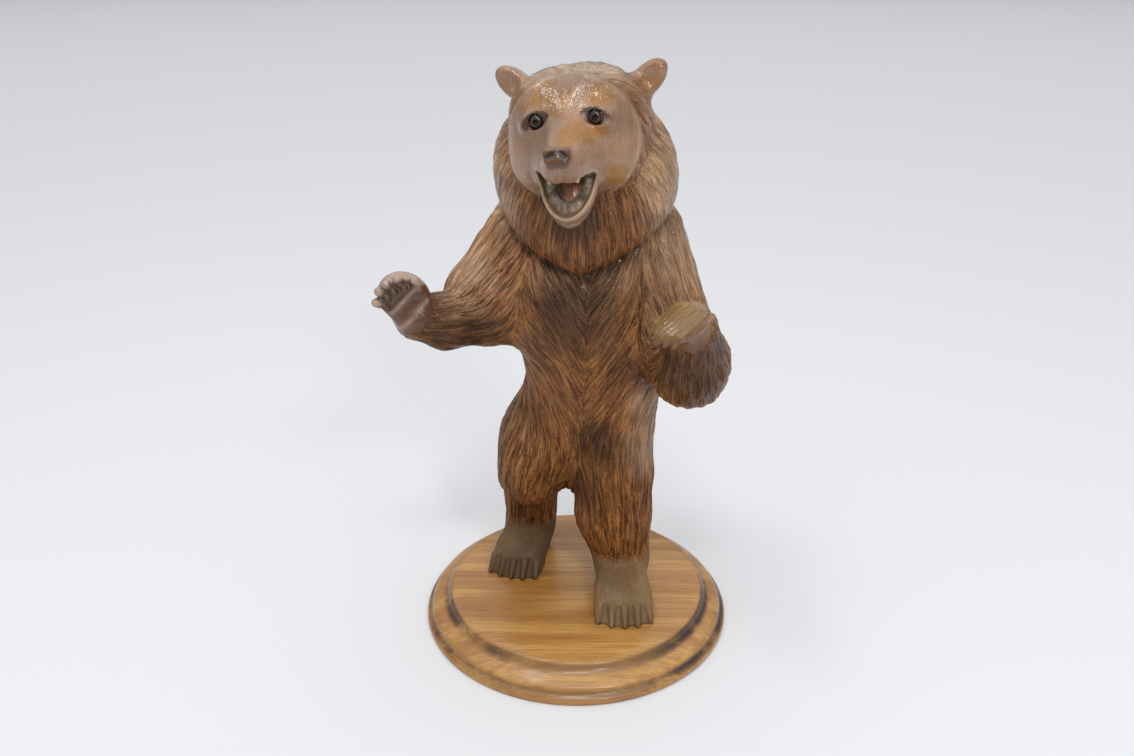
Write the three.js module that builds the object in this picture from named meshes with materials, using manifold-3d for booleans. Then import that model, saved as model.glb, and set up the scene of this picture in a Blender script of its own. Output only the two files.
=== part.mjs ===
// Standing bear carved from one block of wood, on a round moulded plinth, with two glass ball eyes.
// Millimetres, +Z up. The bear looks along -Y, and right and left are its own.
// The origin is the centre of the plinth's underside.
import * as THREE from 'three';
import * as BufferGeometryUtils from 'three/addons/utils/BufferGeometryUtils.js';
import Module from 'manifold-3d';

// Driving dimensions
const PLINTH_DIAMETER = 254;
const PLINTH_THICKNESS = 25.4;
const PLINTH_SIDES = 48;
const SEAT_GAP = 0.3;
const SOLE = PLINTH_THICKNESS + SEAT_GAP;
const EYE_RADIUS = 6.2;
const EYE_DETAIL = 2;
const SOCKET_GAP = 0.35;

// The carving is sampled on a lattice of this pitch inside this block
const CELL = 2.5;
const BLOCK_LOW = [-160, -118, SOLE - 3.7];
const BLOCK_HIGH = [125, 95, 465];
const BEAR_TRIANGLES = 7950;
const FACE_CARE = 5;
const FACE_CENTRE = [0, -62, 398];
const FACE_REACH = 52;
const PAW_CARE = 3;
const PAW_REACH = 34;
const THINNEST_FACE = 0.05;
const SHARPEST_BEND = 0.35;

// Where the parts that are turned away from the body sit
const HEAD_AT = [1.5, -4, 406];
const HEAD_TURN = { yaw: -11, pitch: -1, roll: -6.5 };
const EYE_AT = [20, -40.7, 16.3];
const LIDS_AT = [20.5, -41, 16];
const LID_SLOPE = 20;
const NOSE_AT = [0, -78, -2.6];
const NOSE_LIFT = 22;
const EAR_AT = [46.5, 12, 32.5];
const EAR_DROP = 2.2;
const EAR_SPREAD = 42;
const PAW_UP_AT = [-125.5, -42, 296];
const PAW_DOWN_AT = [70, -85, 293];

// Vectors
const dot = (a, b) => a[0] * b[0] + a[1] * b[1] + a[2] * b[2];
const minus = (a, b) => [a[0] - b[0], a[1] - b[1], a[2] - b[2]];
const scaled = (a, s) => [a[0] * s, a[1] * s, a[2] * s];
const crossed = (a, b) => [a[1] * b[2] - a[2] * b[1], a[2] * b[0] - a[0] * b[2], a[0] * b[1] - a[1] * b[0]];
const unit = (a) => scaled(a, 1 / Math.sqrt(dot(a, a)));
const radians = (degrees) => (degrees * Math.PI) / 180;

// Soft joins of two distances: `soft` is the width of the rounded seam between them
function blend(a, b, soft) {
  const h = Math.max(soft - Math.abs(a - b), 0);
  return soft > 0 ? Math.min(a, b) - (h * h) / (4 * soft) : Math.min(a, b);
}
const trim = (a, b, soft) => -blend(-a, -b, soft);
const ramp = (x, from, to) => {
  const t = Math.min(Math.max((x - from) / (to - from), 0), 1);
  return t * t * (3 - 2 * t);
};

// Forms: each one has a softness and gives the distance of a point to its skin, less than 0 inside
const egg = (at, half, soft = 0) => ({
  soft,
  distance(x, y, z) {
    const u = (x - at[0]) / half[0];
    const v = (y - at[1]) / half[1];
    const w = (z - at[2]) / half[2];
    const near = Math.sqrt(u * u + v * v + w * w);
    const slope = Math.sqrt((u / half[0]) ** 2 + (v / half[1]) ** 2 + (w / half[2]) ** 2);
    return (near * (near - 1)) / Math.max(slope, 1e-6);
  },
});

function limb(start, end, startRadius, endRadius, soft = 0) {
  const way = minus(end, start);
  const reach = dot(way, way);
  return {
    soft,
    distance(x, y, z) {
      const u = x - start[0];
      const v = y - start[1];
      const w = z - start[2];
      const t = Math.min(Math.max((u * way[0] + v * way[1] + w * way[2]) / reach, 0), 1);
      const gap = Math.hypot(u - t * way[0], v - t * way[1], w - t * way[2]);
      return gap - (startRadius + (endRadius - startRadius) * t);
    },
  };
}

const roundedBlock = (at, half, round, soft = 0) => ({
  soft,
  distance(x, y, z) {
    const u = Math.abs(x - at[0]) - half[0] + round;
    const v = Math.abs(y - at[1]) - half[1] + round;
    const w = Math.abs(z - at[2]) - half[2] + round;
    const outside = Math.hypot(Math.max(u, 0), Math.max(v, 0), Math.max(w, 0));
    return outside + Math.min(Math.max(u, v, w), 0) - round;
  },
});

const shape = (distance, soft = 0) => ({ soft, distance });
const hollowed = (form) => ({ ...form, hollow: true });
const paired = (form) => ({ ...form, distance: (x, y, z) => form.distance(Math.abs(x), y, z) });

// Several forms as one: solid ones are joined and hollow ones are cut away, in the order given
function mass(forms, soft = 0) {
  return {
    soft,
    distance(x, y, z) {
      let d = forms[0].distance(x, y, z);
      for (let i = 1; i < forms.length; i += 1) {
        const form = forms[i];
        const own = form.distance(x, y, z);
        d = form.hollow ? trim(d, -own, form.soft) : blend(d, own, form.soft);
      }
      return d;
    },
  };
}

// A form that is shaped in a frame of its own: `axes` are the frame's three directions
function framed(at, axes, form, soft = form.soft) {
  const [a, b, c] = axes;
  return {
    soft,
    hollow: form.hollow,
    distance(x, y, z) {
      const p = [x - at[0], y - at[1], z - at[2]];
      return form.distance(dot(p, a), dot(p, b), dot(p, c));
    },
  };
}

function turnedAxes({ yaw, pitch, roll }) {
  const turn = new THREE.Matrix4().makeRotationZ(radians(yaw));
  turn.multiply(new THREE.Matrix4().makeRotationX(radians(pitch)));
  turn.multiply(new THREE.Matrix4().makeRotationY(radians(roll)));
  const e = turn.elements;
  return [e.slice(0, 3), e.slice(4, 7), e.slice(8, 11)];
}

const HEAD_AXES = turnedAxes(HEAD_TURN);
const seenFrom = (p, at, axes) => axes.map((axis) => dot(minus(p, at), axis));

function axesAlong(along, across) {
  const a = unit(along);
  const normal = unit(crossed(across, a));
  return [a, crossed(a, normal), normal];
}

// Torso: hips, belly, chest, upper back, and a muscle on each side of the breast
const torso = mass([
  egg([1, 36, 156], [56, 48, 50]),
  egg([15, 24, 208], [54, 52, 62], 26),
  egg([8, 20, 268], [60, 50, 58], 26),
  egg([9, 36, 318], [60, 48, 50], 26),
  egg([-20, 0, 272], [30, 30, 44], 10),
  egg([26, 0, 272], [30, 30, 44], 10),
]);

// Hind legs: thigh, knee and shank on the bent right leg, thigh and a straight column on the left
const rightLeg = mass([
  egg([-35, 34, 136], [31, 42, 42]),
  egg([-39, 33, 109], [26, 29, 22], 14),
  limb([-39, 52, 96], [-39.5, 60, 46], 25, 21.5, 8),
], 14);
const leftLeg = mass([
  egg([31, 18, 150], [31, 43, 56]),
  mass([
    limb([30.5, 12, 118], [31, 10, 88], 31, 30.5),
    limb([31, 10, 88], [38.5, 6, 48], 30.5, 24, 10),
  ], 18),
], 14);

// Foot: a flat-soled wedge with a steep front, five toes and the flutes between them
function foot(heel, toes, spread) {
  const size = Math.hypot(toes[0] - heel[0], toes[1] - heel[1]);
  const way = [(toes[0] - heel[0]) / size, (toes[1] - heel[1]) / size, 0];
  const side = [-way[1], way[0], 0];
  const instep = 29;
  const wedge = shape((across, along, up) => {
    const half = spread * (0.42 + 0.09 * ramp(along, 0.2 * size, 0.7 * size));
    const reach = size * (0.98 - 0.09 * (across / half) ** 2);
    const top = up - (instep - 0.32 * (along - 0.4 * size));
    const front = (along - reach) * 0.8 + up * 0.6;
    const block = trim(trim(Math.abs(across) - half, top * 0.95, 12), front, 8);
    return trim(block, -along, 16);
  });
  const toeLine = (s) => size * (0.99 - 0.08 * s * s);
  const toe = (s) => limb(
    [s * 0.41 * spread, toeLine(s) - 11, 10],
    [s * 0.46 * spread, toeLine(s), 1.6],
    4.6, 2, 3,
  );
  const flute = (s) => hollowed(limb(
    [s * 0.44 * spread, toeLine(s) - 8.5, 13],
    [s * 0.46 * spread, toeLine(s) + 2, 2.5],
    2.4, 3.5, 1.8,
  ));
  const toePlaces = [-1, -0.5, 0, 0.5, 1];
  const flutePlaces = [-0.75, -0.25, 0.25, 0.75];
  const forms = [wedge, ...toePlaces.map(toe), ...flutePlaces.map(flute)];
  return framed([heel[0], heel[1], PLINTH_THICKNESS], [side, way, [0, 0, 1]], mass(forms), 8);
}
const rightFoot = foot([-38, 66], [-56, 0], 44);
const leftFoot = foot([37, 12], [38.5, -67], 47);

// Right arm, held out to the side with its forearm rising to the open paw
const rightArm = mass([
  limb([-34, 28, 324], [-70, 10, 286], 34, 27),
  egg([-70, 6, 276], [31, 30, 30], 12),
  mass([
    limb([-70, 2, 268], [-98.5, -20, 270.5], 25, 20.5),
    limb([-98.5, -20, 270.5], [-116, -34, 279], 20.5, 17.5, 6),
  ], 5),
  limb([-62, 6, 268], [-34, 16, 266], 25, 24, 8),
], 14);

// Raised paw, palm to the front: its frame runs to the fingers, across the palm and out of it.
// Two ridges cross the flat palm, and the five fingers curl forward round its far edge.
function raisedPaw() {
  const forms = [
    egg([-1, 1.5, -2.5], [20, 18, 13]),
    hollowed(shape((along, across, out) => 4.2 - out, 3)),
    limb([-1, -9, 3.6], [0, 13, 3.6], 2.5, 2.5, 1.5),
    limb([-14, -5, 1.6], [-12.5, 12, 1.6], 2.8, 2.4, 1.5),
  ];
  for (const s of [-1, -0.5, 0, 0.5, 1]) {
    const reach = 16.8 - 8.5 * (s + 0.25) ** 2;
    const side = 15.5 * s + 2.5;
    const finger = limb([reach - 8, 0.8 * side, -2], [reach, side, 4], 4.6, 3.4);
    const pad = egg([reach - 7.5, 0.85 * side, 5], [3, 2.6, 2.2], 1);
    forms.push(mass([finger, pad], 0.8));
  }
  return framed(PAW_UP_AT, axesAlong([-0.7, -0.12, 0.7], [0.7, 0, 0.7]), mass(forms), 6);
}

// Left arm, folded at the elbow with the forearm held up in front of it
const leftArm = mass([
  limb([50, 28, 322], [75, 2, 262], 32, 27.5),
  mass([
    egg([84, -24, 238], [31, 35, 36]),
    hollowed(shape((x, y, z) => z - 205, 8)),
  ], 14),
  limb([85.5, -40, 248], [80.5, -62, 279], 25, 19, 10),
  limb([40, 0, 262], [78, -14, 240], 26, 24, 12),
], 12);

// Lowered paw, its back up: its frame runs to the claws, across the back and out of it
function loweredPaw() {
  const forms = [
    egg([-1, 1, 0.5], [23, 16, 8.5]),
    framedBack(limb([80, -63, 280], [74, -77, 288], 17.5, 11, 8)),
  ];
  for (const s of [-1, -0.5, 0, 0.5, 1]) {
    const side = 11 * s + 0.5;
    const knuckle = [-11, side, 7.2 - 2 * s * s];
    const tip = [16 - 4 * s * s, side, 2.8];
    const claw = [22 - 4 * s * s, side, -2];
    forms.push(mass([limb(knuckle, tip, 2.9, 3.1), limb(tip, claw, 2.6, 1.5, 1)], 0.6));
  }
  return framed(PAW_DOWN_AT, loweredPawAxes(), mass(forms), 4);
}
function loweredPawAxes() {
  return axesAlong([-0.76, -0.56, -0.32], [-0.45, 0.8, 0.2]);
}
// A form given in the bear's own frame, read back from the lowered paw's frame
function framedBack(form) {
  const [a, b, c] = loweredPawAxes();
  const at = PAW_DOWN_AT;
  return {
    soft: form.soft,
    distance: (u, v, w) => form.distance(
      at[0] + u * a[0] + v * b[0] + w * c[0],
      at[1] + u * a[1] + v * b[1] + w * c[1],
      at[2] + u * a[2] + v * b[2] + w * c[2],
    ),
  };
}

// Neck: a ruff of fur all round, cut to a hem that falls to a point on the breast
const ruffHem = (x, y) => {
  const tuft = 2.2 * Math.abs((((x / 9 + 0.3) % 1) + 1) % 1 * 2 - 1);
  const rise = 0.46 * Math.abs(x - 2) * ramp(y, 60, 0);
  return 305 + tuft + rise + 28 * ramp(y, -10, 60);
};
const neck = mass([
  egg([7, 14, 370], [67, 55, 66]),
  egg([4, -2, 338], [42, 36, 40], 20),
  egg([-25, 12, 387], [33, 40, 36], 12),
  hollowed(shape((x, y, z) => (z - ruffHem(x, y)) * 0.9, 3)),
], 3);

// Lower jaw: its frame runs across, forward along the jaw and up out of the mouth
const JAW_AT = [0, -46, -17.5];
const JAW_AXES = [[1, 0, 0], [0, -0.62, -0.785], [0, -0.785, 0.62]];
const JAW_EGG = { middle: [-1, -2, -2], half: [21, 38.5, 16] };

// Ears, in the head's frame
const EARS = earPair();
function earPair() {
  const spread = radians(EAR_SPREAD);
  const earAxes = [
    [Math.cos(spread), 0, Math.sin(spread)],
    [0, 1, 0],
    [-Math.sin(spread), 0, Math.cos(spread)],
  ];
  const ear = framed(EAR_AT, earAxes, mass([
    egg([0, 0, 0], [17.5, 8, 10]),
    hollowed(egg([4, -9, 0], [11, 5, 6], 3)),
  ]));
  return shape((x, y, z) => ear.distance(Math.abs(x - 2), y, z + EAR_DROP * Math.sign(x)), 8);
}

// Head: skull, brow, cheeks, muzzle, nose, eyes, open mouth with tongue and teeth, and ears
function head() {
  const slope = radians(LID_SLOPE);
  const lidAxes = [[Math.cos(slope), 0, -Math.sin(slope)], [0, 1, 0], [Math.sin(slope), 0, Math.cos(slope)]];
  const lids = framed(LIDS_AT, lidAxes, egg([0, 1.5, 0], [12.5, 8.5, 8.5], 5));
  const almond = framed(LIDS_AT, lidAxes, hollowed(shape((across, deep, up) => {
    const upper = Math.hypot(across, up + 6) - 12.3;
    const lower = Math.hypot(across, up - 9) - 13.4;
    return Math.max(upper, lower, deep + 3.5);
  }, 1.2)));
  const lift = radians(NOSE_LIFT);
  const noseAxes = [[1, 0, 0], [0, Math.cos(lift), -Math.sin(lift)], [0, Math.sin(lift), Math.cos(lift)]];
  const nose = framed(NOSE_AT, noseAxes, mass([
    roundedBlock([-0.5, 0, 0], [9.4, 6.5, 6.6], 3.5),
    hollowed(shape((across, deep, up) => 8.8 + 0.47 * up - 0.88 * Math.abs(across + 0.5), 3)),
  ], 2));
  const nostrils = framed(NOSE_AT, noseAxes, hollowed(paired(
    limb([3.2, -7.5, 1.8], [6, -6, -0.4], 2.1, 1.1, 1.2),
  )));
  const jaw = framed(JAW_AT, JAW_AXES, mass([
    egg(JAW_EGG.middle, JAW_EGG.half),
    hollowed(shape((across, along, up) => -up, 1.5)),
  ]));
  const throat = limb([0, -26, -27], [0, -48, -39], 22, 12, 6);
  const mouth = mass([
    framed(JAW_AT, JAW_AXES, egg([-1.5, -2.5, 6], [20, 39, 16.5])),
    hollowed(shape((x, y, z) => -(z + 16.6 + 0.04 * x - 0.004 * x * x), 1.5)),
  ], 1.2);
  const tongue = framed(JAW_AT, JAW_AXES, egg([-1, 6, -9.5], [7.5, 15, 6], 1));
  // A lumpy row of teeth and gum on each side of the tongue, lower in front of it
  const teeth = framed(JAW_AT, JAW_AXES, shape((across, along, up) => {
    const row = Math.abs(Math.hypot((across + 1.2) / 14.2, (along + 2) / 29) - 1) * 13;
    const round = Math.atan2(along + 2, across);
    const lumps = 1.2 * Math.abs(Math.sin(round * 8)) + 0.5 * Math.sin(up * 1.1) * Math.cos(round * 8);
    const top = up + 2.6 + 0.12 * Math.max(along - 6, 0) - lumps;
    return Math.max((row - 3.4) * 0.9 + 0.35 * (up + 6), top, -up - 10, -along - 6);
  }, 1));
  const fangs = paired(limb([9.5, -70, -13], [9.2, -71, -19.5], 2.6, 1.3, 0.8));
  const skull = [
    egg([2, 6, 2], [50, 46, 44.5]),
    paired(egg([16, -12, 18], [29, 30, 27], 12)),
    paired(egg([24, -20, -10.5], [22.5, 25, 26], 12)),
    limb([0, -26, 10], [0, -75, -3.5], 22, 8.5, 12),
    paired(limb([11, -30, -10], [4.5, -69, -11], 21, 9, 14)),
  ];
  const forms = [
    ...skull, nose, paired(lids), paired(almond), mass([jaw, throat], 5), hollowed(mouth),
    tongue, teeth, fangs, nostrils, EARS,
  ];
  return framed(HEAD_AT, HEAD_AXES, mass(forms), 4);
}

// Each part with a ball round it, outside which it can't touch the carving
const parts = [
  { form: rightLeg, centre: [-38, 44, 100], radius: 84 },
  { form: leftLeg, centre: [35, 12, 116], radius: 94 },
  { form: rightFoot, centre: [-47, 34, 34], radius: 58 },
  { form: leftFoot, centre: [38, -26, 34], radius: 62 },
  { form: rightArm, centre: [-66, 4, 296], radius: 96 },
  { form: leftArm, centre: [66, -12, 280], radius: 96 },
  { form: raisedPaw(), centre: PAW_UP_AT, radius: 34 },
  { form: loweredPaw(), centre: PAW_DOWN_AT, radius: 42 },
  { form: neck, centre: [4, 10, 368], radius: 96 },
  { form: head(), centre: [0, -14, 404], radius: 98 },
];

// Coat: the fur is carved in locks that run along the limbs, fan out from the face over the ruff
// and run down to both sides of a seam on the torso. `front` is where a coat's turn starts, `girth`
// the limb's radius, and `drift` how far its locks have moved round the limb at a place along it,
// mirrored on both sides of the front.
const LOCK_WIDTH = 11;
const LOCK_DEPTH = 1.5;
const LOCK_SWAY = { share: 0.12, length: 9 };
const COAT_SHARPNESS = 10;
// The torso's locks run in to the seam on the chest and belly, and out over the hips
const TORSO_DRIFT = { inward: 0.6, outward: 0.25, from: 120, to: 205 };
const RUFF_COAT = coat({ from: [4, 50, 392], to: [4, -60, 392], front: [0, 0, -1], girth: 62 });
const BODY_COATS = [
  coat({ from: [9, 32, 335], to: [2, 34, 130], girth: 54, drift: torsoDrift }),
  coat({ from: [-34, 28, 324], to: [-72, 8, 282], girth: 30 }),
  coat({ from: [-72, 4, 272], to: [-116, -34, 279], girth: 22 }),
  coat({ from: [50, 28, 322], to: [82, -14, 246], girth: 30 }),
  coat({ from: [84, -34, 240], to: [80, -63, 280], girth: 26 }),
  coat({ from: [-36, 36, 135], to: [-39.5, 60, 46], girth: 27 }),
  coat({ from: [31, 16, 145], to: [38.5, 6, 48], girth: 29 }),
];

function torsoDrift(along) {
  const { inward, outward, from, to } = TORSO_DRIFT;
  const t = Math.min(Math.max((along - from) / (to - from), 0), 1);
  const turned = (to - from) * (t ** 3 - t ** 4 / 2) + Math.max(along - to, 0);
  return (inward + outward) * turned - inward * along;
}

function coat({ from, to, front = [0, -1, 0], girth, drift }) {
  const span = minus(to, from);
  const axis = unit(span);
  const side = unit(crossed(axis, front));
  const ahead = crossed(side, axis);
  return {
    // How far a point is from the coat's limb, in girths
    away(p) {
      const t = Math.min(Math.max(dot(minus(p, from), span) / dot(span, span), 0), 1);
      const foot = from.map((v, k) => v + t * span[k]);
      return Math.hypot(...minus(p, foot)) / girth;
    },
    // 1 in the furrow between two locks, 0 on the crown of a lock
    furrow(p) {
      const local = minus(p, from);
      const angle = Math.atan2(dot(local, side), dot(local, ahead));
      const along = dot(local, axis);
      const wave = LOCK_SWAY.share * Math.sin(along / LOCK_SWAY.length);
      const across = drift ? girth * Math.abs(angle) - drift(along) : girth * angle;
      return 1 - Math.abs(Math.sin(Math.PI * (across / LOCK_WIDTH + wave)));
    },
  };
}

// Smooth face: an oval mask that ends above the chin, and the rim of the jaw below it
const MASK = { middle: [0.5, 0], half: [46.5, 44.5], inner: 0.97, outer: 1.03, chin: -37, back: -25 };
const JAW_RIM = { low: -13, high: -7, inner: 1.02, outer: 1.12 };
function bareHead(p) {
  const q = seenFrom(p, HEAD_AT, HEAD_AXES);
  const [across, along, up] = seenFrom(q, JAW_AT, JAW_AXES);
  const oval = Math.hypot((q[0] - MASK.middle[0]) / MASK.half[0], (q[2] - MASK.middle[1]) / MASK.half[1]);
  const mask = (1 - ramp(oval, MASK.inner, MASK.outer)) * ramp(q[2], MASK.chin, MASK.chin + 5)
    * (1 - ramp(q[1], MASK.back, MASK.back + 6));
  const ring = Math.hypot(
    (across - JAW_EGG.middle[0]) / JAW_EGG.half[0],
    (along - JAW_EGG.middle[1]) / JAW_EGG.half[1],
  );
  const jaw = ramp(up, JAW_RIM.low, JAW_RIM.high) * (1 - ramp(ring, JAW_RIM.inner, JAW_RIM.outer));
  return Math.max(mask, jaw, 1 - ramp(EARS.distance(...q), 0.5, 4));
}

// How deep the furrows go at a point: none on the face, the ears, the paws and the feet
const PAW_BARE = { inner: 21, outer: 28 };
const FOOT_BARE = { low: 52, high: 62 };
function coatDepth(x, y, z) {
  const p = [x, y, z];
  const beyondPaw = (centre) => ramp(Math.hypot(...minus(p, centre)), PAW_BARE.inner, PAW_BARE.outer);
  const bare = (1 - bareHead(p)) * beyondPaw(PAW_UP_AT) * beyondPaw(PAW_DOWN_AT)
    * ramp(z, FOOT_BARE.low, FOOT_BARE.high);
  if (bare === 0) return 0;
  const onRuff = ramp(z - ruffHem(x, y), -1, 1);
  if (onRuff === 1) return LOCK_DEPTH * bare * RUFF_COAT.furrow(p);
  const away = BODY_COATS.map((c) => c.away(p));
  const nearest = Math.min(...away);
  let total = 0;
  let body = 0;
  BODY_COATS.forEach((c, n) => {
    const weight = Math.exp(-COAT_SHARPNESS * (away[n] - nearest));
    total += weight;
    body += weight * c.furrow(p);
  });
  body /= total;
  return LOCK_DEPTH * bare * (onRuff * RUFF_COAT.furrow(p) + (1 - onRuff) * body);
}

function bearDistance(x, y, z) {
  let d = torso.distance(x, y, z);
  for (const { form, centre, radius } of parts) {
    const away = Math.hypot(x - centre[0], y - centre[1], z - centre[2]) - radius;
    if (away < d + form.soft) d = blend(d, form.distance(x, y, z), form.soft);
  }
  if (Math.abs(d) < 2 * CELL) d += coatDepth(x, y, z);
  return Math.max(d, SOLE - z);
}

// Skin of a distance field: each lattice cube is parted into six tetrahedra round one diagonal,
// so neighbouring cubes share their faces and the skin closes by itself.
function skinOf(distance, low, high, cell) {
  const stride = 4;
  const blocks = low.map((v, k) => Math.ceil((high[k] - v) / (cell * stride)));
  const count = blocks.map((n) => n * stride + 1);
  const index = (i, j, k) => (k * count[1] + j) * count[0] + i;
  const value = new Float64Array(count[0] * count[1] * count[2]).fill(NaN);
  const at = (i, j, k) => {
    const n = index(i, j, k);
    if (Number.isNaN(value[n])) value[n] = distance(low[0] + i * cell, low[1] + j * cell, low[2] + k * cell);
    return value[n];
  };
  const points = [];
  const faces = [];
  const known = new Map();
  const corner = new Array(8);
  const level = new Array(8);
  const spot = (a, b) => {
    const [na, nb] = corner[a] < corner[b] ? [a, b] : [b, a];
    const key = corner[na] * value.length + corner[nb];
    let n = known.get(key);
    if (n !== undefined) return n;
    const t = Math.min(Math.max(level[na] / (level[na] - level[nb]), 0.03), 0.97);
    const place = [0, 1, 2].map((axis) => {
      const from = cubeCorner(na)[axis];
      const to = cubeCorner(nb)[axis];
      return low[axis] + cell * (origin[axis] + from + (to - from) * t);
    });
    n = points.length;
    points.push(place);
    known.set(key, n);
    return n;
  };
  const origin = [0, 0, 0];
  const cutCube = (i, j, k) => {
    let inside = 0;
    for (let c = 0; c < 8; c += 1) {
      const [u, v, w] = cubeCorner(c);
      corner[c] = index(i + u, j + v, k + w);
      level[c] = at(i + u, j + v, k + w);
      inside += level[c] < 0 ? 1 : 0;
    }
    if (inside === 0 || inside === 8) return;
    origin[0] = i;
    origin[1] = j;
    origin[2] = k;
    for (const tetrahedron of TETRAHEDRA) cutTetrahedron(tetrahedron);
  };
  const cutTetrahedron = (tetrahedron) => {
    const inner = tetrahedron.filter((c) => level[c] < 0);
    const outer = tetrahedron.filter((c) => level[c] >= 0);
    if (inner.length === 0 || outer.length === 0) return;
    const ends = [];
    for (const a of inner) for (const b of outer) ends.push([a, b]);
    if (ends.length === 4) [ends[2], ends[3]] = [ends[3], ends[2]];
    const ring = ends.map(([a, b]) => spot(a, b));
    const outward = minus(middle(outer), middle(inner));
    const normal = crossed(minus(points[ring[1]], points[ring[0]]), minus(points[ring[2]], points[ring[0]]));
    if (dot(normal, outward) < 0) ring.reverse();
    for (let n = 2; n < ring.length; n += 1) faces.push([ring[0], ring[n - 1], ring[n]]);
  };
  const middle = (corners) => {
    const sum = [0, 0, 0];
    for (const c of corners) cubeCorner(c).forEach((v, axis) => { sum[axis] += v / corners.length; });
    return sum;
  };
  const half = (cell * stride * Math.sqrt(3)) / 2;
  for (let bk = 0; bk < blocks[2]; bk += 1) {
    for (let bj = 0; bj < blocks[1]; bj += 1) {
      for (let bi = 0; bi < blocks[0]; bi += 1) {
        const first = [bi * stride, bj * stride, bk * stride];
        const centre = first.map((n, axis) => low[axis] + (n + stride / 2) * cell);
        if (Math.abs(distance(...centre)) > half * 1.5) continue;
        for (let n = 0; n < stride ** 3; n += 1) {
          cutCube(first[0] + (n % stride), first[1] + (Math.floor(n / stride) % stride),
            first[2] + Math.floor(n / stride ** 2));
        }
      }
    }
  }
  return { points, faces };
}
const CUBE = [0, 1, 2, 3, 4, 5, 6, 7].map((c) => [c & 1, (c >> 1) & 1, (c >> 2) & 1]);
function cubeCorner(c) {
  return CUBE[c];
}
const TETRAHEDRA = [[1, 3], [3, 2], [2, 6], [6, 4], [4, 5], [5, 1]].map(([a, b]) => [0, a, b, 7]);

// The largest joined piece of a skin, so that no crumb of a thin tip can stay loose beside it
function withoutCrumbs({ points, faces }) {
  const parent = points.map((_, n) => n);
  const root = (n) => {
    let top = n;
    while (parent[top] !== top) {
      parent[top] = parent[parent[top]];
      top = parent[top];
    }
    return top;
  };
  for (const [a, b, c] of faces) {
    parent[root(a)] = root(b);
    parent[root(b)] = root(c);
  }
  const size = new Map();
  for (const [a] of faces) size.set(root(a), (size.get(root(a)) ?? 0) + 1);
  const largest = [...size].reduce((best, entry) => (entry[1] > best[1] ? entry : best))[0];
  return { points, faces: faces.filter(([a]) => root(a) === largest) };
}

// Draws each point onto the zero level, a short step at a time
function settle(points, distance, steps) {
  const h = 0.3;
  for (const p of points) {
    for (let n = 0; n < steps; n += 1) {
      const d = distance(...p);
      const slope = [
        (distance(p[0] + h, p[1], p[2]) - distance(p[0] - h, p[1], p[2])) / (2 * h),
        (distance(p[0], p[1] + h, p[2]) - distance(p[0], p[1] - h, p[2])) / (2 * h),
        (distance(p[0], p[1], p[2] + h) - distance(p[0], p[1], p[2] - h)) / (2 * h),
      ];
      const step = d / Math.max(dot(slope, slope), 0.1);
      const limited = Math.min(Math.max(step, -CELL / 3), CELL / 3);
      for (let axis = 0; axis < 3; axis += 1) p[axis] -= limited * slope[axis];
    }
    p[2] = Math.max(p[2], SOLE);
  }
}

// Heap of edges, the cheapest to close up first
class Heap {
  constructor() {
    this.items = [];
  }

  push(item) {
    const list = this.items;
    let n = list.length;
    list.push(item);
    while (n > 0) {
      const up = (n - 1) >> 1;
      if (list[up].cost <= item.cost) break;
      list[n] = list[up];
      n = up;
    }
    list[n] = item;
  }

  pop() {
    const list = this.items;
    const first = list[0];
    const last = list.pop();
    let n = 0;
    while (list.length > 0) {
      let down = 2 * n + 1;
      if (down >= list.length) break;
      if (down + 1 < list.length && list[down + 1].cost < list[down].cost) down += 1;
      if (list[down].cost >= last.cost) break;
      list[n] = list[down];
      n = down;
    }
    if (list.length > 0) list[n] = last;
    return first;
  }
}

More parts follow.
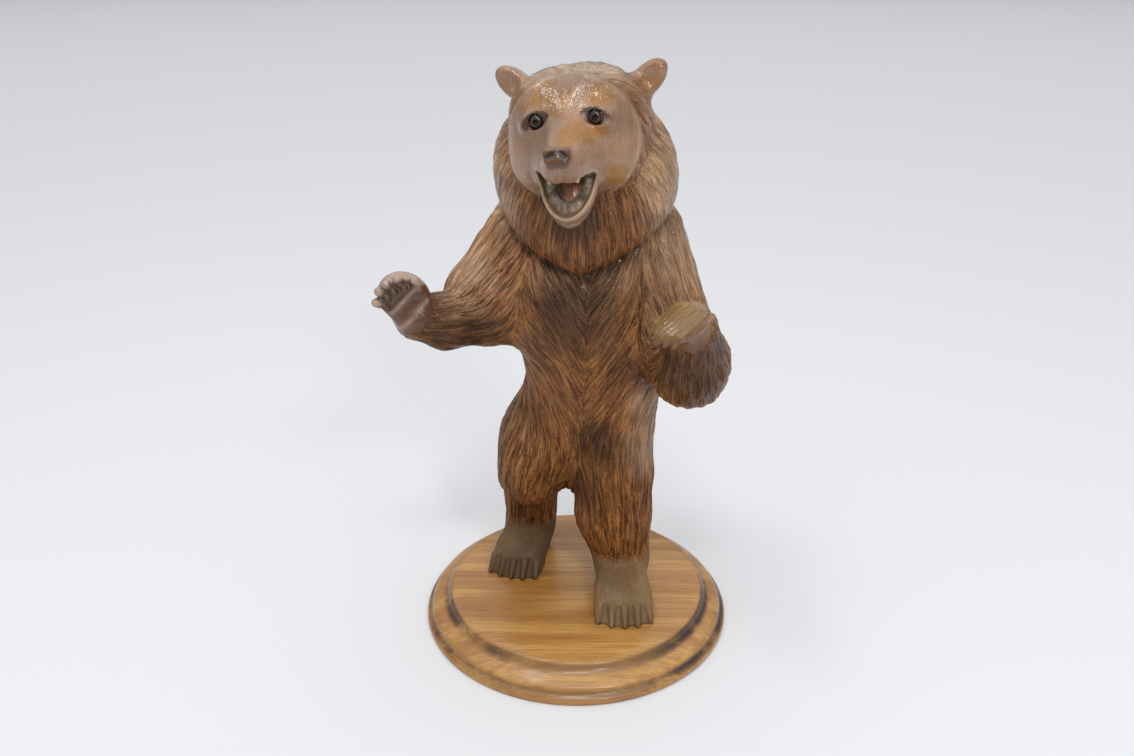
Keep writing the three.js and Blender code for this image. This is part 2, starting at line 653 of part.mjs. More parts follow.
// Closes up edges until `target` faces are left, keeping the skin as near as it can to the planes
// of the faces it replaces. `care` says how much dearer an error is at a point.
function simplify({ points, faces }, target, care) {
  const planes = points.map(() => new Float64Array(10));
  const around = points.map(() => new Set());
  const version = new Int32Array(points.length);
  const faceNormal = ([a, b, c]) => crossed(minus(points[b], points[a]), minus(points[c], points[a]));
  faces.forEach((face, n) => {
    const normal = faceNormal(face);
    const size = Math.sqrt(dot(normal, normal));
    const [a, b, c] = size > 0 ? scaled(normal, 1 / size) : [0, 0, 0];
    const d = -(a * points[face[0]][0] + b * points[face[0]][1] + c * points[face[0]][2]);
    const terms = [a * a, a * b, a * c, a * d, b * b, b * c, b * d, c * c, c * d, d * d];
    for (const v of face) {
      around[v].add(n);
      terms.forEach((term, k) => { planes[v][k] += term * size; });
    }
  });
  const neighbours = (v) => {
    const found = new Set();
    for (const n of around[v]) for (const w of faces[n]) if (w !== v) found.add(w);
    return found;
  };
  const error = (q, [x, y, z]) => q[0] * x * x + 2 * q[1] * x * y + 2 * q[2] * x * z + 2 * q[3] * x
    + q[4] * y * y + 2 * q[5] * y * z + 2 * q[6] * y + q[7] * z * z + 2 * q[8] * z + q[9];
  const bestPlace = (q, a, b) => {
    const middle = scaled([a[0] + b[0], a[1] + b[1], a[2] + b[2]], 0.5);
    const span = minus(a, b);
    const hold = 1e-3 * (q[0] + q[4] + q[7]) + 1e-9;
    const m = new THREE.Matrix3().set(
      q[0] + hold, q[1], q[2], q[1], q[4] + hold, q[5], q[2], q[5], q[7] + hold,
    );
    const right = new THREE.Vector3(
      hold * middle[0] - q[3], hold * middle[1] - q[6], hold * middle[2] - q[8],
    );
    const place = right.applyMatrix3(m.invert()).toArray();
    const drift = minus(place, middle);
    return dot(drift, drift) < dot(span, span) ? place : middle;
  };
  const heap = new Heap();
  const offer = (a, b) => {
    const q = planes[a].map((v, k) => v + planes[b][k]);
    const place = bestPlace(q, points[a], points[b]);
    place[2] = Math.max(place[2], SOLE);
    const span = minus(points[a], points[b]);
    const cost = (Math.max(error(q, place), 0) + 1e-4 * dot(span, span)) * care(place);
    heap.push({ cost, a, b, place, versions: version[a] + version[b] });
  };
  // Twice a face's area over its longest side squared, which is near 0 for a sliver
  const fullness = (corners, doubleArea) => {
    const sides = [0, 1, 2].map((k) => minus(corners[k], corners[(k + 1) % 3]));
    return doubleArea / Math.max(...sides.map((side) => dot(side, side)), 1e-12);
  };
  const keepsShape = (v, gone, place) => {
    for (const n of around[v]) {
      const face = faces[n];
      if (face.includes(gone)) continue;
      const before = faceNormal(face);
      const sizeBefore = Math.sqrt(dot(before, before));
      const fullBefore = fullness(face.map((w) => points[w]), sizeBefore);
      const corners = face.map((w) => (w === v ? place : points[w]));
      const after = crossed(minus(corners[1], corners[0]), minus(corners[2], corners[0]));
      const size = Math.sqrt(dot(after, after));
      if (fullness(corners, size) < Math.min(THINNEST_FACE, fullBefore)) return false;
      const bent = dot(after, before) < SHARPEST_BEND * size * sizeBefore;
      if (bent && fullBefore > THINNEST_FACE) return false;
    }
    return true;
  };
  const offerAll = () => points.forEach((_, v) => {
    for (const w of neighbours(v)) if (v < w) offer(v, w);
  });
  let left = faces.length;
  let leftBefore = left + 1;
  while (left > target) {
    if (heap.items.length === 0) {
      if (left === leftBefore) break;
      leftBefore = left;
      offerAll();
    }
    const { a, b, place, versions } = heap.pop();
    const gone = around[a].size === 0 || around[b].size === 0;
    if (gone || version[a] + version[b] !== versions) continue;
    const nearA = neighbours(a);
    const shared = [...neighbours(b)].filter((w) => nearA.has(w));
    const middle = [0, 1, 2].map((axis) => (points[a][axis] + points[b][axis]) / 2);
    const spot = [place, middle, points[a], points[b]]
      .find((p) => keepsShape(a, b, p) && keepsShape(b, a, p));
    if (shared.length !== 2 || spot === undefined) continue;
    points[a] = spot;
    planes[a] = planes[a].map((v, k) => v + planes[b][k]);
    for (const n of [...around[b]]) {
      if (faces[n].includes(a)) {
        for (const w of faces[n]) around[w].delete(n);
        left -= 1;
      } else {
        faces[n] = faces[n].map((w) => (w === b ? a : w));
        around[a].add(n);
      }
    }
    around[b].clear();
    version[a] += 1;
    for (const w of neighbours(a)) offer(a, w);
  }
  const kept = new Set();
  around.forEach((list) => list.forEach((n) => kept.add(n)));
  return { points, faces: [...kept].map((n) => faces[n]) };
}

function geometryOf({ points, faces }) {
  const renumbered = new Map();
  const places = [];
  const indices = faces.flat().map((v) => {
    if (!renumbered.has(v)) {
      renumbered.set(v, renumbered.size);
      places.push(...points[v]);
    }
    return renumbered.get(v);
  });
  const geometry = new THREE.BufferGeometry();
  geometry.setAttribute('position', new THREE.Float32BufferAttribute(places, 3));
  geometry.setIndex(indices);
  return geometry;
}

// Closer faces where the face and the paws are
function care(place) {
  const near = (centre, reach) => 1 - ramp(Math.hypot(...minus(place, centre)), reach * 0.7, reach);
  const paws = Math.max(near(PAW_UP_AT, PAW_REACH), near(PAW_DOWN_AT, PAW_REACH));
  return 1 + (FACE_CARE - 1) * near(FACE_CENTRE, FACE_REACH) + (PAW_CARE - 1) * paws;
}

// Glass ball eye
function eyeGeometry(radius) {
  const ball = new THREE.IcosahedronGeometry(radius, EYE_DETAIL);
  ball.deleteAttribute('normal');
  ball.deleteAttribute('uv');
  return BufferGeometryUtils.mergeVertices(ball);
}
function eyePlace(side) {
  const [a, b, c] = HEAD_AXES;
  const local = [side * EYE_AT[0], EYE_AT[1], EYE_AT[2]];
  return HEAD_AT.map((v, axis) => v + local[0] * a[axis] + local[1] * b[axis] + local[2] * c[axis]);
}

// Plinth section, as steps in from the rim and heights above the underside: bottom lip, sloping
// band with a rounded nose, cove, bead and flat top
function plinthGeometry() {
  const rim = PLINTH_DIAMETER / 2;
  const top = PLINTH_THICKNESS;
  const lip = [[1, 0], [0, 1.8], [0.4, 5]];
  const band = [[4.6, 7.8], [4.8, 10.4], [6.6, 13], [15.4, 17]];
  const bead = [[18.6, 19.8], [19.4, 22.8], [21.4, 24.6], [27, top]];
  const edge = [...lip, ...band, ...bead].map(([inward, z]) => [rim - inward, z]);
  const section = [[0, 0], ...edge, [0, top]];
  const lathe = new THREE.LatheGeometry(section.map(([r, z]) => new THREE.Vector2(r, z)), PLINTH_SIDES);
  return lathe.rotateX(Math.PI / 2);
}

// Booleans
const wasm = await Module();
wasm.setup();
function solidOf(geometry) {
  return new wasm.Manifold(new wasm.Mesh({
    numProp: 3,
    vertProperties: new Float32Array(geometry.getAttribute('position').array),
    triVerts: new Uint32Array(geometry.getIndex().array),
  }));
}
function geometryFrom(solid) {
  const mesh = solid.getMesh();
  const geometry = new THREE.BufferGeometry();
  geometry.setAttribute('position', new THREE.BufferAttribute(mesh.vertProperties, 3));
  geometry.setIndex(new THREE.BufferAttribute(mesh.triVerts, 1));
  return geometry;
}

function bearGeometry() {
  const skin = withoutCrumbs(skinOf(bearDistance, BLOCK_LOW, BLOCK_HIGH, CELL));
  settle(skin.points, bearDistance, 2);
  let solid = solidOf(geometryOf(simplify(skin, BEAR_TRIANGLES, care)));
  for (const side of [-1, 1]) {
    const socket = eyeGeometry(EYE_RADIUS + SOCKET_GAP).translate(...eyePlace(side));
    solid = solid.subtract(solidOf(socket));
  }
  return geometryFrom(solid);
}

function piece(name, geometry, color, roughness) {
  const mesh = new THREE.Mesh(geometry, new THREE.MeshStandardMaterial({ color, roughness, metalness: 0 }));
  mesh.name = name;
  return mesh;
}

const carving = new THREE.Group();
carving.add(piece('plinth', plinthGeometry(), 0xb98a4c, 0.4));
carving.add(piece('bear', bearGeometry(), 0x7a4b28, 0.45));
for (const [name, side] of [['eye_right', -1], ['eye_left', 1]]) {
  const eye = piece(name, eyeGeometry(EYE_RADIUS), 0x1c120c, 0.05);
  eye.position.set(...eyePlace(side));
  carving.add(eye);
}

export default carving;
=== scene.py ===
"""Looks of the standing bear: its carved and varnished fur, the turned oak plinth and the glass eyes.

Lengths are in millimetres in the forms below, as in the solids, and the meshes are made in metres.
The bear looks along -Y with +Z up, and right and left are its own.
"""

import bpy
import numpy as np
from mathutils import Matrix, Vector


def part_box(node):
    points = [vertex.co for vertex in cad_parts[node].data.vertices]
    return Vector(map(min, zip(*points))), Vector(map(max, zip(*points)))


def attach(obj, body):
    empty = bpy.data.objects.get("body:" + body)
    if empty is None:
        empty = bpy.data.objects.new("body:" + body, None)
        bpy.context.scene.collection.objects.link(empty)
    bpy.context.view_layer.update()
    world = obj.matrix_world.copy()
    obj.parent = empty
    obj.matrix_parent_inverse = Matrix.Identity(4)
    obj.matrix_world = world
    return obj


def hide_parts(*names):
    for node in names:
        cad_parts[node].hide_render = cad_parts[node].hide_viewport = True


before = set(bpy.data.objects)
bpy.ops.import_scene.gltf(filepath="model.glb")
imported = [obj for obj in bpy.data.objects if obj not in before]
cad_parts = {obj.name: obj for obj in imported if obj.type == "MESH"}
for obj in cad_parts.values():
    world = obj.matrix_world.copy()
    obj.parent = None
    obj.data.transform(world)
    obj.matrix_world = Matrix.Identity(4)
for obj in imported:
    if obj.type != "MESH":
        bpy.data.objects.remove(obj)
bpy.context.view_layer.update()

MM = 0.001

# Driving sizes, as in the solids
_, PLINTH_HIGH = (np.array(corner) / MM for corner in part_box("plinth"))
PLINTH_RADIUS = 127.0
PLINTH_TOP = PLINTH_HIGH[2]
SOLE = PLINTH_TOP + 0.3
EYE_RADIUS = 6.2
SOCKET_GAP = 0.1

# Where the parts that are turned away from the body sit
HEAD_AT = (1.5, -4, 406)
HEAD_TURN = {"yaw": -11, "pitch": -1, "roll": -6.5}
EYE_AT = (20, -40.7, 16.3)
LIDS_AT = (20.5, -41, 16)
LID_SLOPE = 20
SOCKET_FLOOR = 4.3
NOSE_AT = (0, -78, -2.6)
NOSE_LIFT = 22
JAW_AT = (0, -46, -17.5)
JAW_MIDDLE, JAW_HALF = (-1, -2, -2), (21, 38.5, 16)
EAR_AT = (46.5, 12, 32.5)
EAR_DROP = 2.2
EAR_SPREAD = 42
PAW_UP_AT = (-125.5, -42, 296)
PAW_DOWN_AT = (70, -85, 293)

# Joints of the limbs, where forms and coats of fur start or end
RIGHT_SHOULDER, RIGHT_WRIST, RIGHT_ANKLE = (-34, 28, 324), (-116, -34, 279), (-39.5, 60, 46)
LEFT_SHOULDER, LEFT_WRIST, LEFT_ANKLE = (50, 28, 322), (80, -63, 280), (38.5, 6, 48)
RIGHT_FOREARM = (-98.5, -20, 270.5)
LEFT_KNEE = (31, 10, 88)

# The ruff's hem: its point on the breast, its slope to the sides, its rise to the back and its tufts
HEM_POINT = 303.5
HEM_SLOPE = 0.52
HEM_RISE = 28
TUFT_HEIGHT, TUFT_WIDTH = 1.6, 7

# Places of the five toes or fingers from one side to the other, and of the flutes between the toes
DIGITS = (-1, -0.5, 0, 0.5, 1)
FLUTES = (-0.75, -0.25, 0.25, 0.75)

# The carved surface: its lattice's pitch and room round the solid, and how many faces it keeps
CELL = 1.35
MARGIN = 4
BEAR_FACES = 194000

# Fur locks and the strokes of the gouge on them
LOCK_WIDTH = 11
LOCK_DEPTH = 1.3
RUFF_LOCK_SHARE = 0.3
LOCK_SWAY = 0.12
LOCK_SWAY_LENGTH = 9
COAT_SHARPNESS = 10
STROKE_WIDTH = 2
STROKE_REACH = 9
STROKE_DEPTH = 1.0
RUFF_STROKE_SHARE = 0.55
STROKE_LEVEL = 0.6
STROKE_CONTRAST = 1.9

# Fine relief on bare wood: the rim of the face's mask, the smile folds and the lowered paw's grooves
RIM_HEIGHT, RIM_AT, RIM_GROOVE_DEPTH = 0.7, 0.97, 1.1
FOLD_DEPTH = 1.3
PAW_GROOVE_PITCH = 3.7
PAW_GROOVE_DEPTH = 0.9

# How far out from the skin the other side of a recess is looked for, to paint shade into recesses
HOLLOW_SHADE_REACH = 9


def length(q):
    return np.sqrt(np.einsum("ij,ij->i", q, q))


def unit(v):
    v = np.asarray(v, float)
    return v / np.sqrt(v @ v)


def ramp(x, low, high):
    """0 up to `low` and 1 from `high` on, eased in between."""
    t = np.clip((x - low) / (high - low), 0, 1)
    return t * t * (3 - 2 * t)


def bell(x, middle, width):
    """1 in the middle, falling off on both sides of it."""
    return np.exp(-((x - middle) / width) ** 2)


# Soft joins of two distances: `soft` is the width of the rounded seam between them
def blend(a, b, soft):
    if soft == 0:
        return np.minimum(a, b)
    h = np.maximum(soft - np.abs(a - b), 0)
    return np.minimum(a, b) - h * h / (4 * soft)


def trim(a, b, soft):
    return -blend(-a, -b, soft)


# Forms: the distance of points to a skin, less than 0 inside
def egg(p, at, half):
    q = (p - at) / half
    ratio = length(q)
    return ratio * (ratio - 1) / np.maximum(length(q / half), 1e-6)


def limb(p, start, end, start_radius, end_radius):
    way = np.subtract(end, start)
    t = np.clip((p - start) @ way / (way @ way), 0, 1)
    return length(p - start - t[:, None] * way) - start_radius - (end_radius - start_radius) * t


def rounded_block(p, half, rounding):
    q = np.abs(p) - half + rounding
    return length(np.maximum(q, 0)) + np.minimum(q.max(1), 0) - rounding


def join(first, *others):
    """One mass of several distances: each of the others is (distance, softness)."""
    for distance, soft in others:
        first = blend(first, distance, soft)
    return first


def paired(p):
    """The same points, all brought to the +X side."""
    return np.stack([np.abs(p[:, 0]), p[:, 1], p[:, 2]], 1)


def seen_from(p, at, axes):
    """Points in the coordinates of a frame at `at`, whose directions are the rows of `axes`."""
    return (p - at) @ np.transpose(axes)


def turned_axes(yaw, pitch, roll):
    turn = Matrix.Rotation(np.radians(yaw), 3, "Z") @ Matrix.Rotation(np.radians(pitch), 3, "X")
    return np.array(turn @ Matrix.Rotation(np.radians(roll), 3, "Y")).T


def axes_along(along, across):
    a = unit(along)
    normal = unit(np.cross(across, a))
    return np.array([a, np.cross(a, normal), normal])


def slope_axes(degrees):
    """A frame turned about Y, its first direction sloping down to +X."""
    c, s = np.cos(np.radians(degrees)), np.sin(np.radians(degrees))
    return np.array([[c, 0, -s], [0, 1, 0], [s, 0, c]])


HEAD_AXES = turned_axes(**HEAD_TURN)
LID_AXES = slope_axes(LID_SLOPE)
EAR_AXES = slope_axes(-EAR_SPREAD)
NOSE_AXES = np.array(Matrix.Rotation(np.radians(-NOSE_LIFT), 3, "X")).T
JAW_AXES = np.array([[1, 0, 0], [0, -0.62, -0.785], [0, -0.785, 0.62]])
PAW_UP_AXES = axes_along((-0.7, -0.12, 0.7), (0.7, 0, 0.7))
PAW_DOWN_AXES = axes_along((-0.76, -0.56, -0.32), (-0.45, 0.8, 0.2))


# Torso: hips, belly, chest, upper back, and a muscle on each side of the breast
def torso(p):
    return join(
        egg(p, (1, 36, 156), (56, 48, 50)),
        (egg(p, (15, 24, 208), (54, 52, 62)), 26),
        (egg(p, (8, 20, 268), (60, 50, 58)), 26),
        (egg(p, (9, 36, 318), (60, 48, 50)), 26),
        (egg(p, (-20, 0, 272), (30, 30, 44)), 10),
        (egg(p, (26, 0, 272), (30, 30, 44)), 10),
    )


def right_leg(p):
    return join(
        egg(p, (-35, 34, 136), (31, 42, 42)),
        (egg(p, (-39, 33, 109), (26, 29, 22)), 14),
        (limb(p, (-39, 52, 96), RIGHT_ANKLE, 25, 21.5), 8),
    )


def left_leg(p):
    upper = limb(p, (30.5, 12, 118), LEFT_KNEE, 31, 30.5)
    lower = limb(p, LEFT_KNEE, LEFT_ANKLE, 30.5, 24)
    return blend(egg(p, (31, 18, 150), (31, 43, 56)), blend(upper, lower, 10), 18)


# Foot: a flat-soled wedge with a steep front, five toes and the flutes between them
FEET = {
    "right": {"heel": (-38, 66), "toes": (-56, 0), "spread": 44},
    "left": {"heel": (37, 12), "toes": (38.5, -67), "spread": 47},
}
INSTEP_HEIGHT, INSTEP_SLOPE = 29, 0.32


def foot_frame(p, heel, toes):
    """Points across, along and up a foot, and the foot's size from its heel to its toes."""
    way = np.subtract(toes, heel)
    size = np.hypot(*way)
    way = way / size
    axes = [[-way[1], way[0], 0], [way[0], way[1], 0], [0, 0, 1]]
    return seen_from(p, (*heel, PLINTH_TOP), axes), size


def toe_line(s, size):
    """How far forward a toe reaches: the middle one is the longest."""
    return size * (0.99 - 0.08 * s * s)


def foot(p, heel, toes, spread):
    local, size = foot_frame(p, heel, toes)
    across, along, up = local.T
    half = spread * (0.42 + 0.09 * ramp(along, 0.2 * size, 0.7 * size))
    reach = size * (0.98 - 0.09 * (across / half) ** 2)
    top = up - (INSTEP_HEIGHT - INSTEP_SLOPE * (along - 0.4 * size))
    front = (along - reach) * 0.8 + up * 0.6
    d = trim(trim(trim(np.abs(across) - half, top * 0.95, 12), front, 8), -along, 16)
    for s in DIGITS:
        far = toe_line(s, size)
        toe = limb(local, (s * 0.41 * spread, far - 11, 10), (s * 0.46 * spread, far, 1.6), 4.6, 2)
        d = blend(d, toe, 3)
    for s in FLUTES:
        far = toe_line(s, size)
        start = (s * 0.44 * spread, far - 8.5, 13)
        flute = limb(local, start, (s * 0.46 * spread, far + 2, 2.5), 2.4, 3.5)
        d = trim(d, -flute, 1.8)
    return d


# Right arm, held out to the side with its forearm rising to the open paw
def right_arm(p):
    wrist = limb(p, RIGHT_FOREARM, RIGHT_WRIST, 20.5, 17.5)
    return join(
        limb(p, RIGHT_SHOULDER, (-70, 10, 286), 34, 27),
        (egg(p, (-70, 6, 276), (31, 30, 30)), 12),
        (blend(limb(p, (-70, 2, 268), RIGHT_FOREARM, 25, 20.5), wrist, 6), 5),
        (limb(p, (-62, 6, 268), (-34, 16, 266), 25, 24), 8),
    )


def raised_paw(p):
    """Two ridges cross the flat palm, and the five fingers curl forward round its far edge."""
    q = seen_from(p, PAW_UP_AT, PAW_UP_AXES)
    d = join(
        trim(egg(q, (-1, 1.5, -2.5), (20, 18, 13)), q[:, 2] - 4.2, 3),
        (limb(q, (-1, -9, 3.6), (0, 13, 3.6), 2.5, 2.5), 1.5),
        (limb(q, (-14, -5, 1.6), (-12.5, 12, 1.6), 2.8, 2.4), 1.5),
    )
    for s in DIGITS:
        reach = 16.8 - 8.5 * (s + 0.25) ** 2
        side = 15.5 * s + 2.5
        finger = limb(q, (reach - 8, 0.8 * side, -2), (reach, side, 4), 4.6, 3.4)
        pad = egg(q, (reach - 7.5, 0.85 * side, 5), (3, 2.6, 2.2))
        d = blend(d, blend(finger, pad, 1), 0.8)
    return d


# Left arm, folded at the elbow with the forearm held up in front of it
def left_arm(p):
    elbow = trim(egg(p, (84, -24, 238), (31, 35, 36)), 205 - p[:, 2], 8)
    return join(
        limb(p, LEFT_SHOULDER, (75, 2, 262), 32, 27.5),
        (elbow, 14),
        (limb(p, (85.5, -40, 248), (80.5, -62, 279), 25, 19), 10),
        (limb(p, (40, 0, 262), (78, -14, 240), 26, 24), 12),
    )


def lowered_paw(p):
    """A flat hand with five bent fingers, each ending in a claw."""
    q = seen_from(p, PAW_DOWN_AT, PAW_DOWN_AXES)
    wrist = limb(p, LEFT_WRIST, (74, -77, 288), 17.5, 11)
    d = blend(egg(q, (-1, 1, 0.5), (23, 16, 8.5)), wrist, 8)
    for s in DIGITS:
        side = 11 * s + 0.5
        knuckle = (-11, side, 7.2 - 2 * s * s)
        tip = (16 - 4 * s * s, side, 2.8)
        claw = (22 - 4 * s * s, side, -2)
        d = blend(d, blend(limb(q, knuckle, tip, 2.9, 3.1), limb(q, tip, claw, 2.6, 1.5), 1), 0.6)
    return d


# Neck: a ruff of fur all round, cut to a hem that falls to a point on the breast
def ruff_hem(p):
    """Height of the ruff's lower edge."""
    x, y = p[:, 0], p[:, 1]
    tuft = TUFT_HEIGHT * np.abs(np.mod(x / TUFT_WIDTH + 0.3 + 0.4 * np.sin(x / 11), 1) * 2 - 1)
    side = HEM_SLOPE * np.abs(x - 2) * ramp(y, 60, 0)
    return HEM_POINT + tuft + side + HEM_RISE * ramp(y, -10, 60)


def neck(p):
    d = join(
        egg(p, (7, 14, 370), (67, 55, 66)),
        (egg(p, (4, -2, 338), (42, 36, 40)), 20),
        (egg(p, (-25, 12, 387), (33, 40, 36)), 12),
    )
    return trim(d, (ruff_hem(p) - p[:, 2]) * 0.9, 9)


# Parts of the head, each in the head's own frame
def skull(q):
    m = paired(q)
    return join(
        egg(q, (2, 6, 2), (50, 46, 44.5)),
        (egg(m, (16, -12, 18), (29, 30, 27)), 12),
        (egg(m, (24, -20, -10.5), (22.5, 25, 26)), 12),
        (limb(q, (0, -26, 10), (0, -75, -3.5), 22, 8.5), 12),
        (limb(m, (11, -30, -10), (4.5, -69, -11), 21, 9), 14),
    )


def nose_pad(q):
    n = seen_from(q, NOSE_AT, NOSE_AXES) + (0.5, 0, 0)
    return trim(rounded_block(n, (9.4, 6.5, 6.6), 3.5), 0.88 * np.abs(n[:, 0]) - 0.47 * n[:, 2] - 8.8, 3)


def nostrils(q):
    return limb(paired(seen_from(q, NOSE_AT, NOSE_AXES)), (3.2, -7.5, 1.8), (6, -6, -0.4), 2.1, 1.1)


def almond(q):
    across, deep, up = seen_from(paired(q), LIDS_AT, LID_AXES).T
    upper = np.hypot(across, up + 6) - 12.3
    lower = np.hypot(across, up - 9) - 13.4
    return np.maximum(upper, lower), deep


def eye_ball(q):
    return length(paired(q) - EYE_AT) - EYE_RADIUS


def teeth(j):
    """A lumpy row of teeth and gum on each side of the tongue, lower in front of it."""
    across, along, up = j.T
    row = np.abs(np.hypot((across + 1.2) / 14.2, (along + 2) / 29) - 1) * 13
    around = np.arctan2(along + 2, across)
    lumps = 1.2 * np.abs(np.sin(around * 8)) + 0.5 * np.sin(up * 1.1) * np.cos(around * 8)
    top = up + 2.6 + 0.12 * np.maximum(along - 6, 0) - lumps
    return np.max([(row - 3.4) * 0.9 + 0.35 * (up + 6), top, -up - 10, -along - 6], 0)


def tongue(j):
    return egg(j, (-1, 6, -9.5), (7.5, 15, 6))


def fangs(q):
    return limb(paired(q), (9.5, -70, -13), (9.2, -71, -19.5), 2.6, 1.3)


def mouth(q, j):
    lip = q[:, 2] + 16.6 + 0.04 * q[:, 0] - 0.004 * q[:, 0] ** 2
    return trim(egg(j, (-1.5, -2.5, 6), (20, 39, 16.5)), lip, 1.5)


def ears(q):
    e = paired(q - (2, 0, 0)) - EAR_AT
    e[:, 2] += EAR_DROP * np.sign(q[:, 0])
    local = e @ EAR_AXES.T
    return trim(egg(local, (0, 0, 0), (17.5, 8, 10)), -egg(local, (4, -9, 0), (11, 5, 6)), 3)


def head(p):
    q = seen_from(p, HEAD_AT, HEAD_AXES)
    j = seen_from(q, JAW_AT, JAW_AXES)
    lids = egg(seen_from(paired(q), LIDS_AT, LID_AXES), (0, 1.5, 0), (12.5, 8.5, 8.5))
    outline, deep = almond(q)
    d = join(skull(q), (nose_pad(q), 2), (lids, 5))
    d = trim(d, -np.maximum(outline, deep + SOCKET_FLOOR), 1.2)
    jaw = trim(egg(j, JAW_MIDDLE, JAW_HALF), j[:, 2], 1.5)
    throat = limb(q, (0, -26, -27), (0, -48, -39), 22, 12)
    d = trim(blend(d, blend(jaw, throat, 6), 5), -mouth(q, j), 1.2)
    d = join(d, (tongue(j), 1), (teeth(j), 1), (fangs(q), 0.8))
    d = trim(d, -nostrils(q), 1.2)
    return np.maximum(blend(d, ears(q), 8), SOCKET_GAP - eye_ball(q))


# Each part with its softness and a ball round it, outside which it can't touch the carving
PARTS = [
    (right_leg, 14, (-38, 44, 100), 84),
    (left_leg, 14, (35, 12, 116), 94),
    (lambda p: foot(p, **FEET["right"]), 8, (-47, 34, 34), 58),
    (lambda p: foot(p, **FEET["left"]), 8, (38, -26, 34), 62),
    (right_arm, 14, (-66, 4, 296), 96),
    (left_arm, 12, (66, -12, 280), 96),
    (raised_paw, 6, PAW_UP_AT, 34),
    (lowered_paw, 4, PAW_DOWN_AT, 42),
    (neck, 3, (4, 10, 368), 96),
    (head, 4, (0, -14, 404), 98),
]


def smooth_bear(p):
    """Distance to the bear before its fur is carved."""
    d = torso(p)
    for part, soft, centre, radius in PARTS:
        close = np.flatnonzero(length(p - centre) - radius < d + soft)
        if len(close):
            d[close] = blend(d[close], part(p[close]), soft)
    return d


# The torso's locks run in to the seam on the chest and belly, and out over the hips
INWARD, OUTWARD, TURN_FROM, TURN_TO = 0.6, 0.25, 120, 205
SEAM_WIDTH = 3


def torso_drift(along):
    """How far the torso's locks have moved away from the seam, and how fast they do."""
    t = np.clip((along - TURN_FROM) / (TURN_TO - TURN_FROM), 0, 1)
    turned = (TURN_TO - TURN_FROM) * (t ** 3 - t ** 4 / 2) + np.maximum(along - TURN_TO, 0)
    speed = (INWARD + OUTWARD) * ramp(along, TURN_FROM, TURN_TO) - INWARD
    return (INWARD + OUTWARD) * turned - INWARD * along, speed


class Coat:
    """Fur that runs along a limb. `front` is where its turn starts, `girth` the limb's radius, and
    `drift` how far its locks have moved round the limb, mirrored on both sides of the front."""

    def __init__(self, start, end, girth, front=(0, -1, 0), drift=None):
        self.start = np.array(start, float)
        self.span = np.array(end, float) - self.start
        self.axis = unit(self.span)
        self.side = unit(np.cross(self.axis, front))
        self.ahead = np.cross(self.side, self.axis)
        self.girth = girth
        self.drift = drift

    def away(self, p):
        """How far points are from the limb, in girths."""
        q = p - self.start
        t = np.clip(q @ self.span / (self.span @ self.span), 0, 1)
        return length(q - t[:, None] * self.span) / self.girth

    def lay(self, p):
        """Where points are across and along the fur, and the way that it runs there."""
        q = p - self.start
        turn = np.arctan2(q @ self.side, q @ self.ahead)
        along = q @ self.axis
        if self.drift is None:
            return self.girth * turn, along, np.tile(self.axis, (len(p), 1))
        moved, speed = self.drift(along)
        round_way = np.cos(turn)[:, None] * self.side - np.sin(turn)[:, None] * self.ahead
        seam = np.clip(turn * self.girth / SEAM_WIDTH, -1, 1)
        way = self.axis + (speed * seam)[:, None] * round_way
        return self.girth * np.abs(turn) - moved, along, way


RUFF_COAT = Coat((4, 50, 392), (4, -60, 392), 62, front=(0, 0, -1))

# The torso, each upper arm and forearm, and the legs
BODY_COATS = [
    Coat((9, 32, 335), (2, 34, 130), 54, drift=torso_drift),
    Coat(RIGHT_SHOULDER, (-72, 8, 282), 30),
    Coat((-72, 4, 272), RIGHT_WRIST, 22),
    Coat(LEFT_SHOULDER, (82, -14, 246), 30),
    Coat((84, -34, 240), LEFT_WRIST, 26),
    Coat((-36, 36, 135), RIGHT_ANKLE, 27),
    Coat((31, 16, 145), LEFT_ANKLE, 29),
]

# The ruff's strokes fan out from a root along its length, and lean back and down
RUFF_ROOT, RUFF_BACK, RUFF_FALL = 0.6, 0.6, 1.2


def outside(p, centre, inner, outer):
    """0 within a ball, 1 beyond a larger one."""
    return ramp(length(p - centre), inner, outer)


MASK_MIDDLE, MASK_HALF_WIDTH, MASK_HALF_HEIGHT = 0.5, 46.5, 44.5


def mask_oval(q):
    """1 on the edge of the face's oval mask, less inside it."""
    return np.hypot((q[:, 0] - MASK_MIDDLE) / MASK_HALF_WIDTH, q[:, 2] / MASK_HALF_HEIGHT)


def bare_head(p):
    """1 on the face's mask, the rim of the jaw below it and the ears, 0 on the fur."""
    q = seen_from(p, HEAD_AT, HEAD_AXES)
    across, along, up = seen_from(q, JAW_AT, JAW_AXES).T
    mask = (1 - ramp(mask_oval(q), 0.97, 1.03)) * ramp(q[:, 2], -37, -32) * (1 - ramp(q[:, 1], -25, -19))
    ring = np.hypot((across - JAW_MIDDLE[0]) / JAW_HALF[0], (along - JAW_MIDDLE[1]) / JAW_HALF[1])
    jaw = ramp(up, -13, -7) * (1 - ramp(ring, 1.02, 1.12))
    return np.max([mask, jaw, 1 - ramp(ears(q), 0.5, 4)], 0)


def furry(p):
    """1 where fur is carved, 0 on the face, the ears, the paws and the feet."""
    off_paws = outside(p, PAW_UP_AT, 21, 28) * outside(p, PAW_DOWN_AT, 21, 28)
    return (1 - bare_head(p)) * off_paws * ramp(p[:, 2], 52, 62)


def furrow(coat, p):
    """1 in the furrow between two locks, 0 on the crown of a lock."""
    across, along, _ = coat.lay(p)
    wave = LOCK_SWAY * np.sin(along / LOCK_SWAY_LENGTH)
    return 1 - np.abs(np.sin(np.pi * (across / LOCK_WIDTH + wave)))


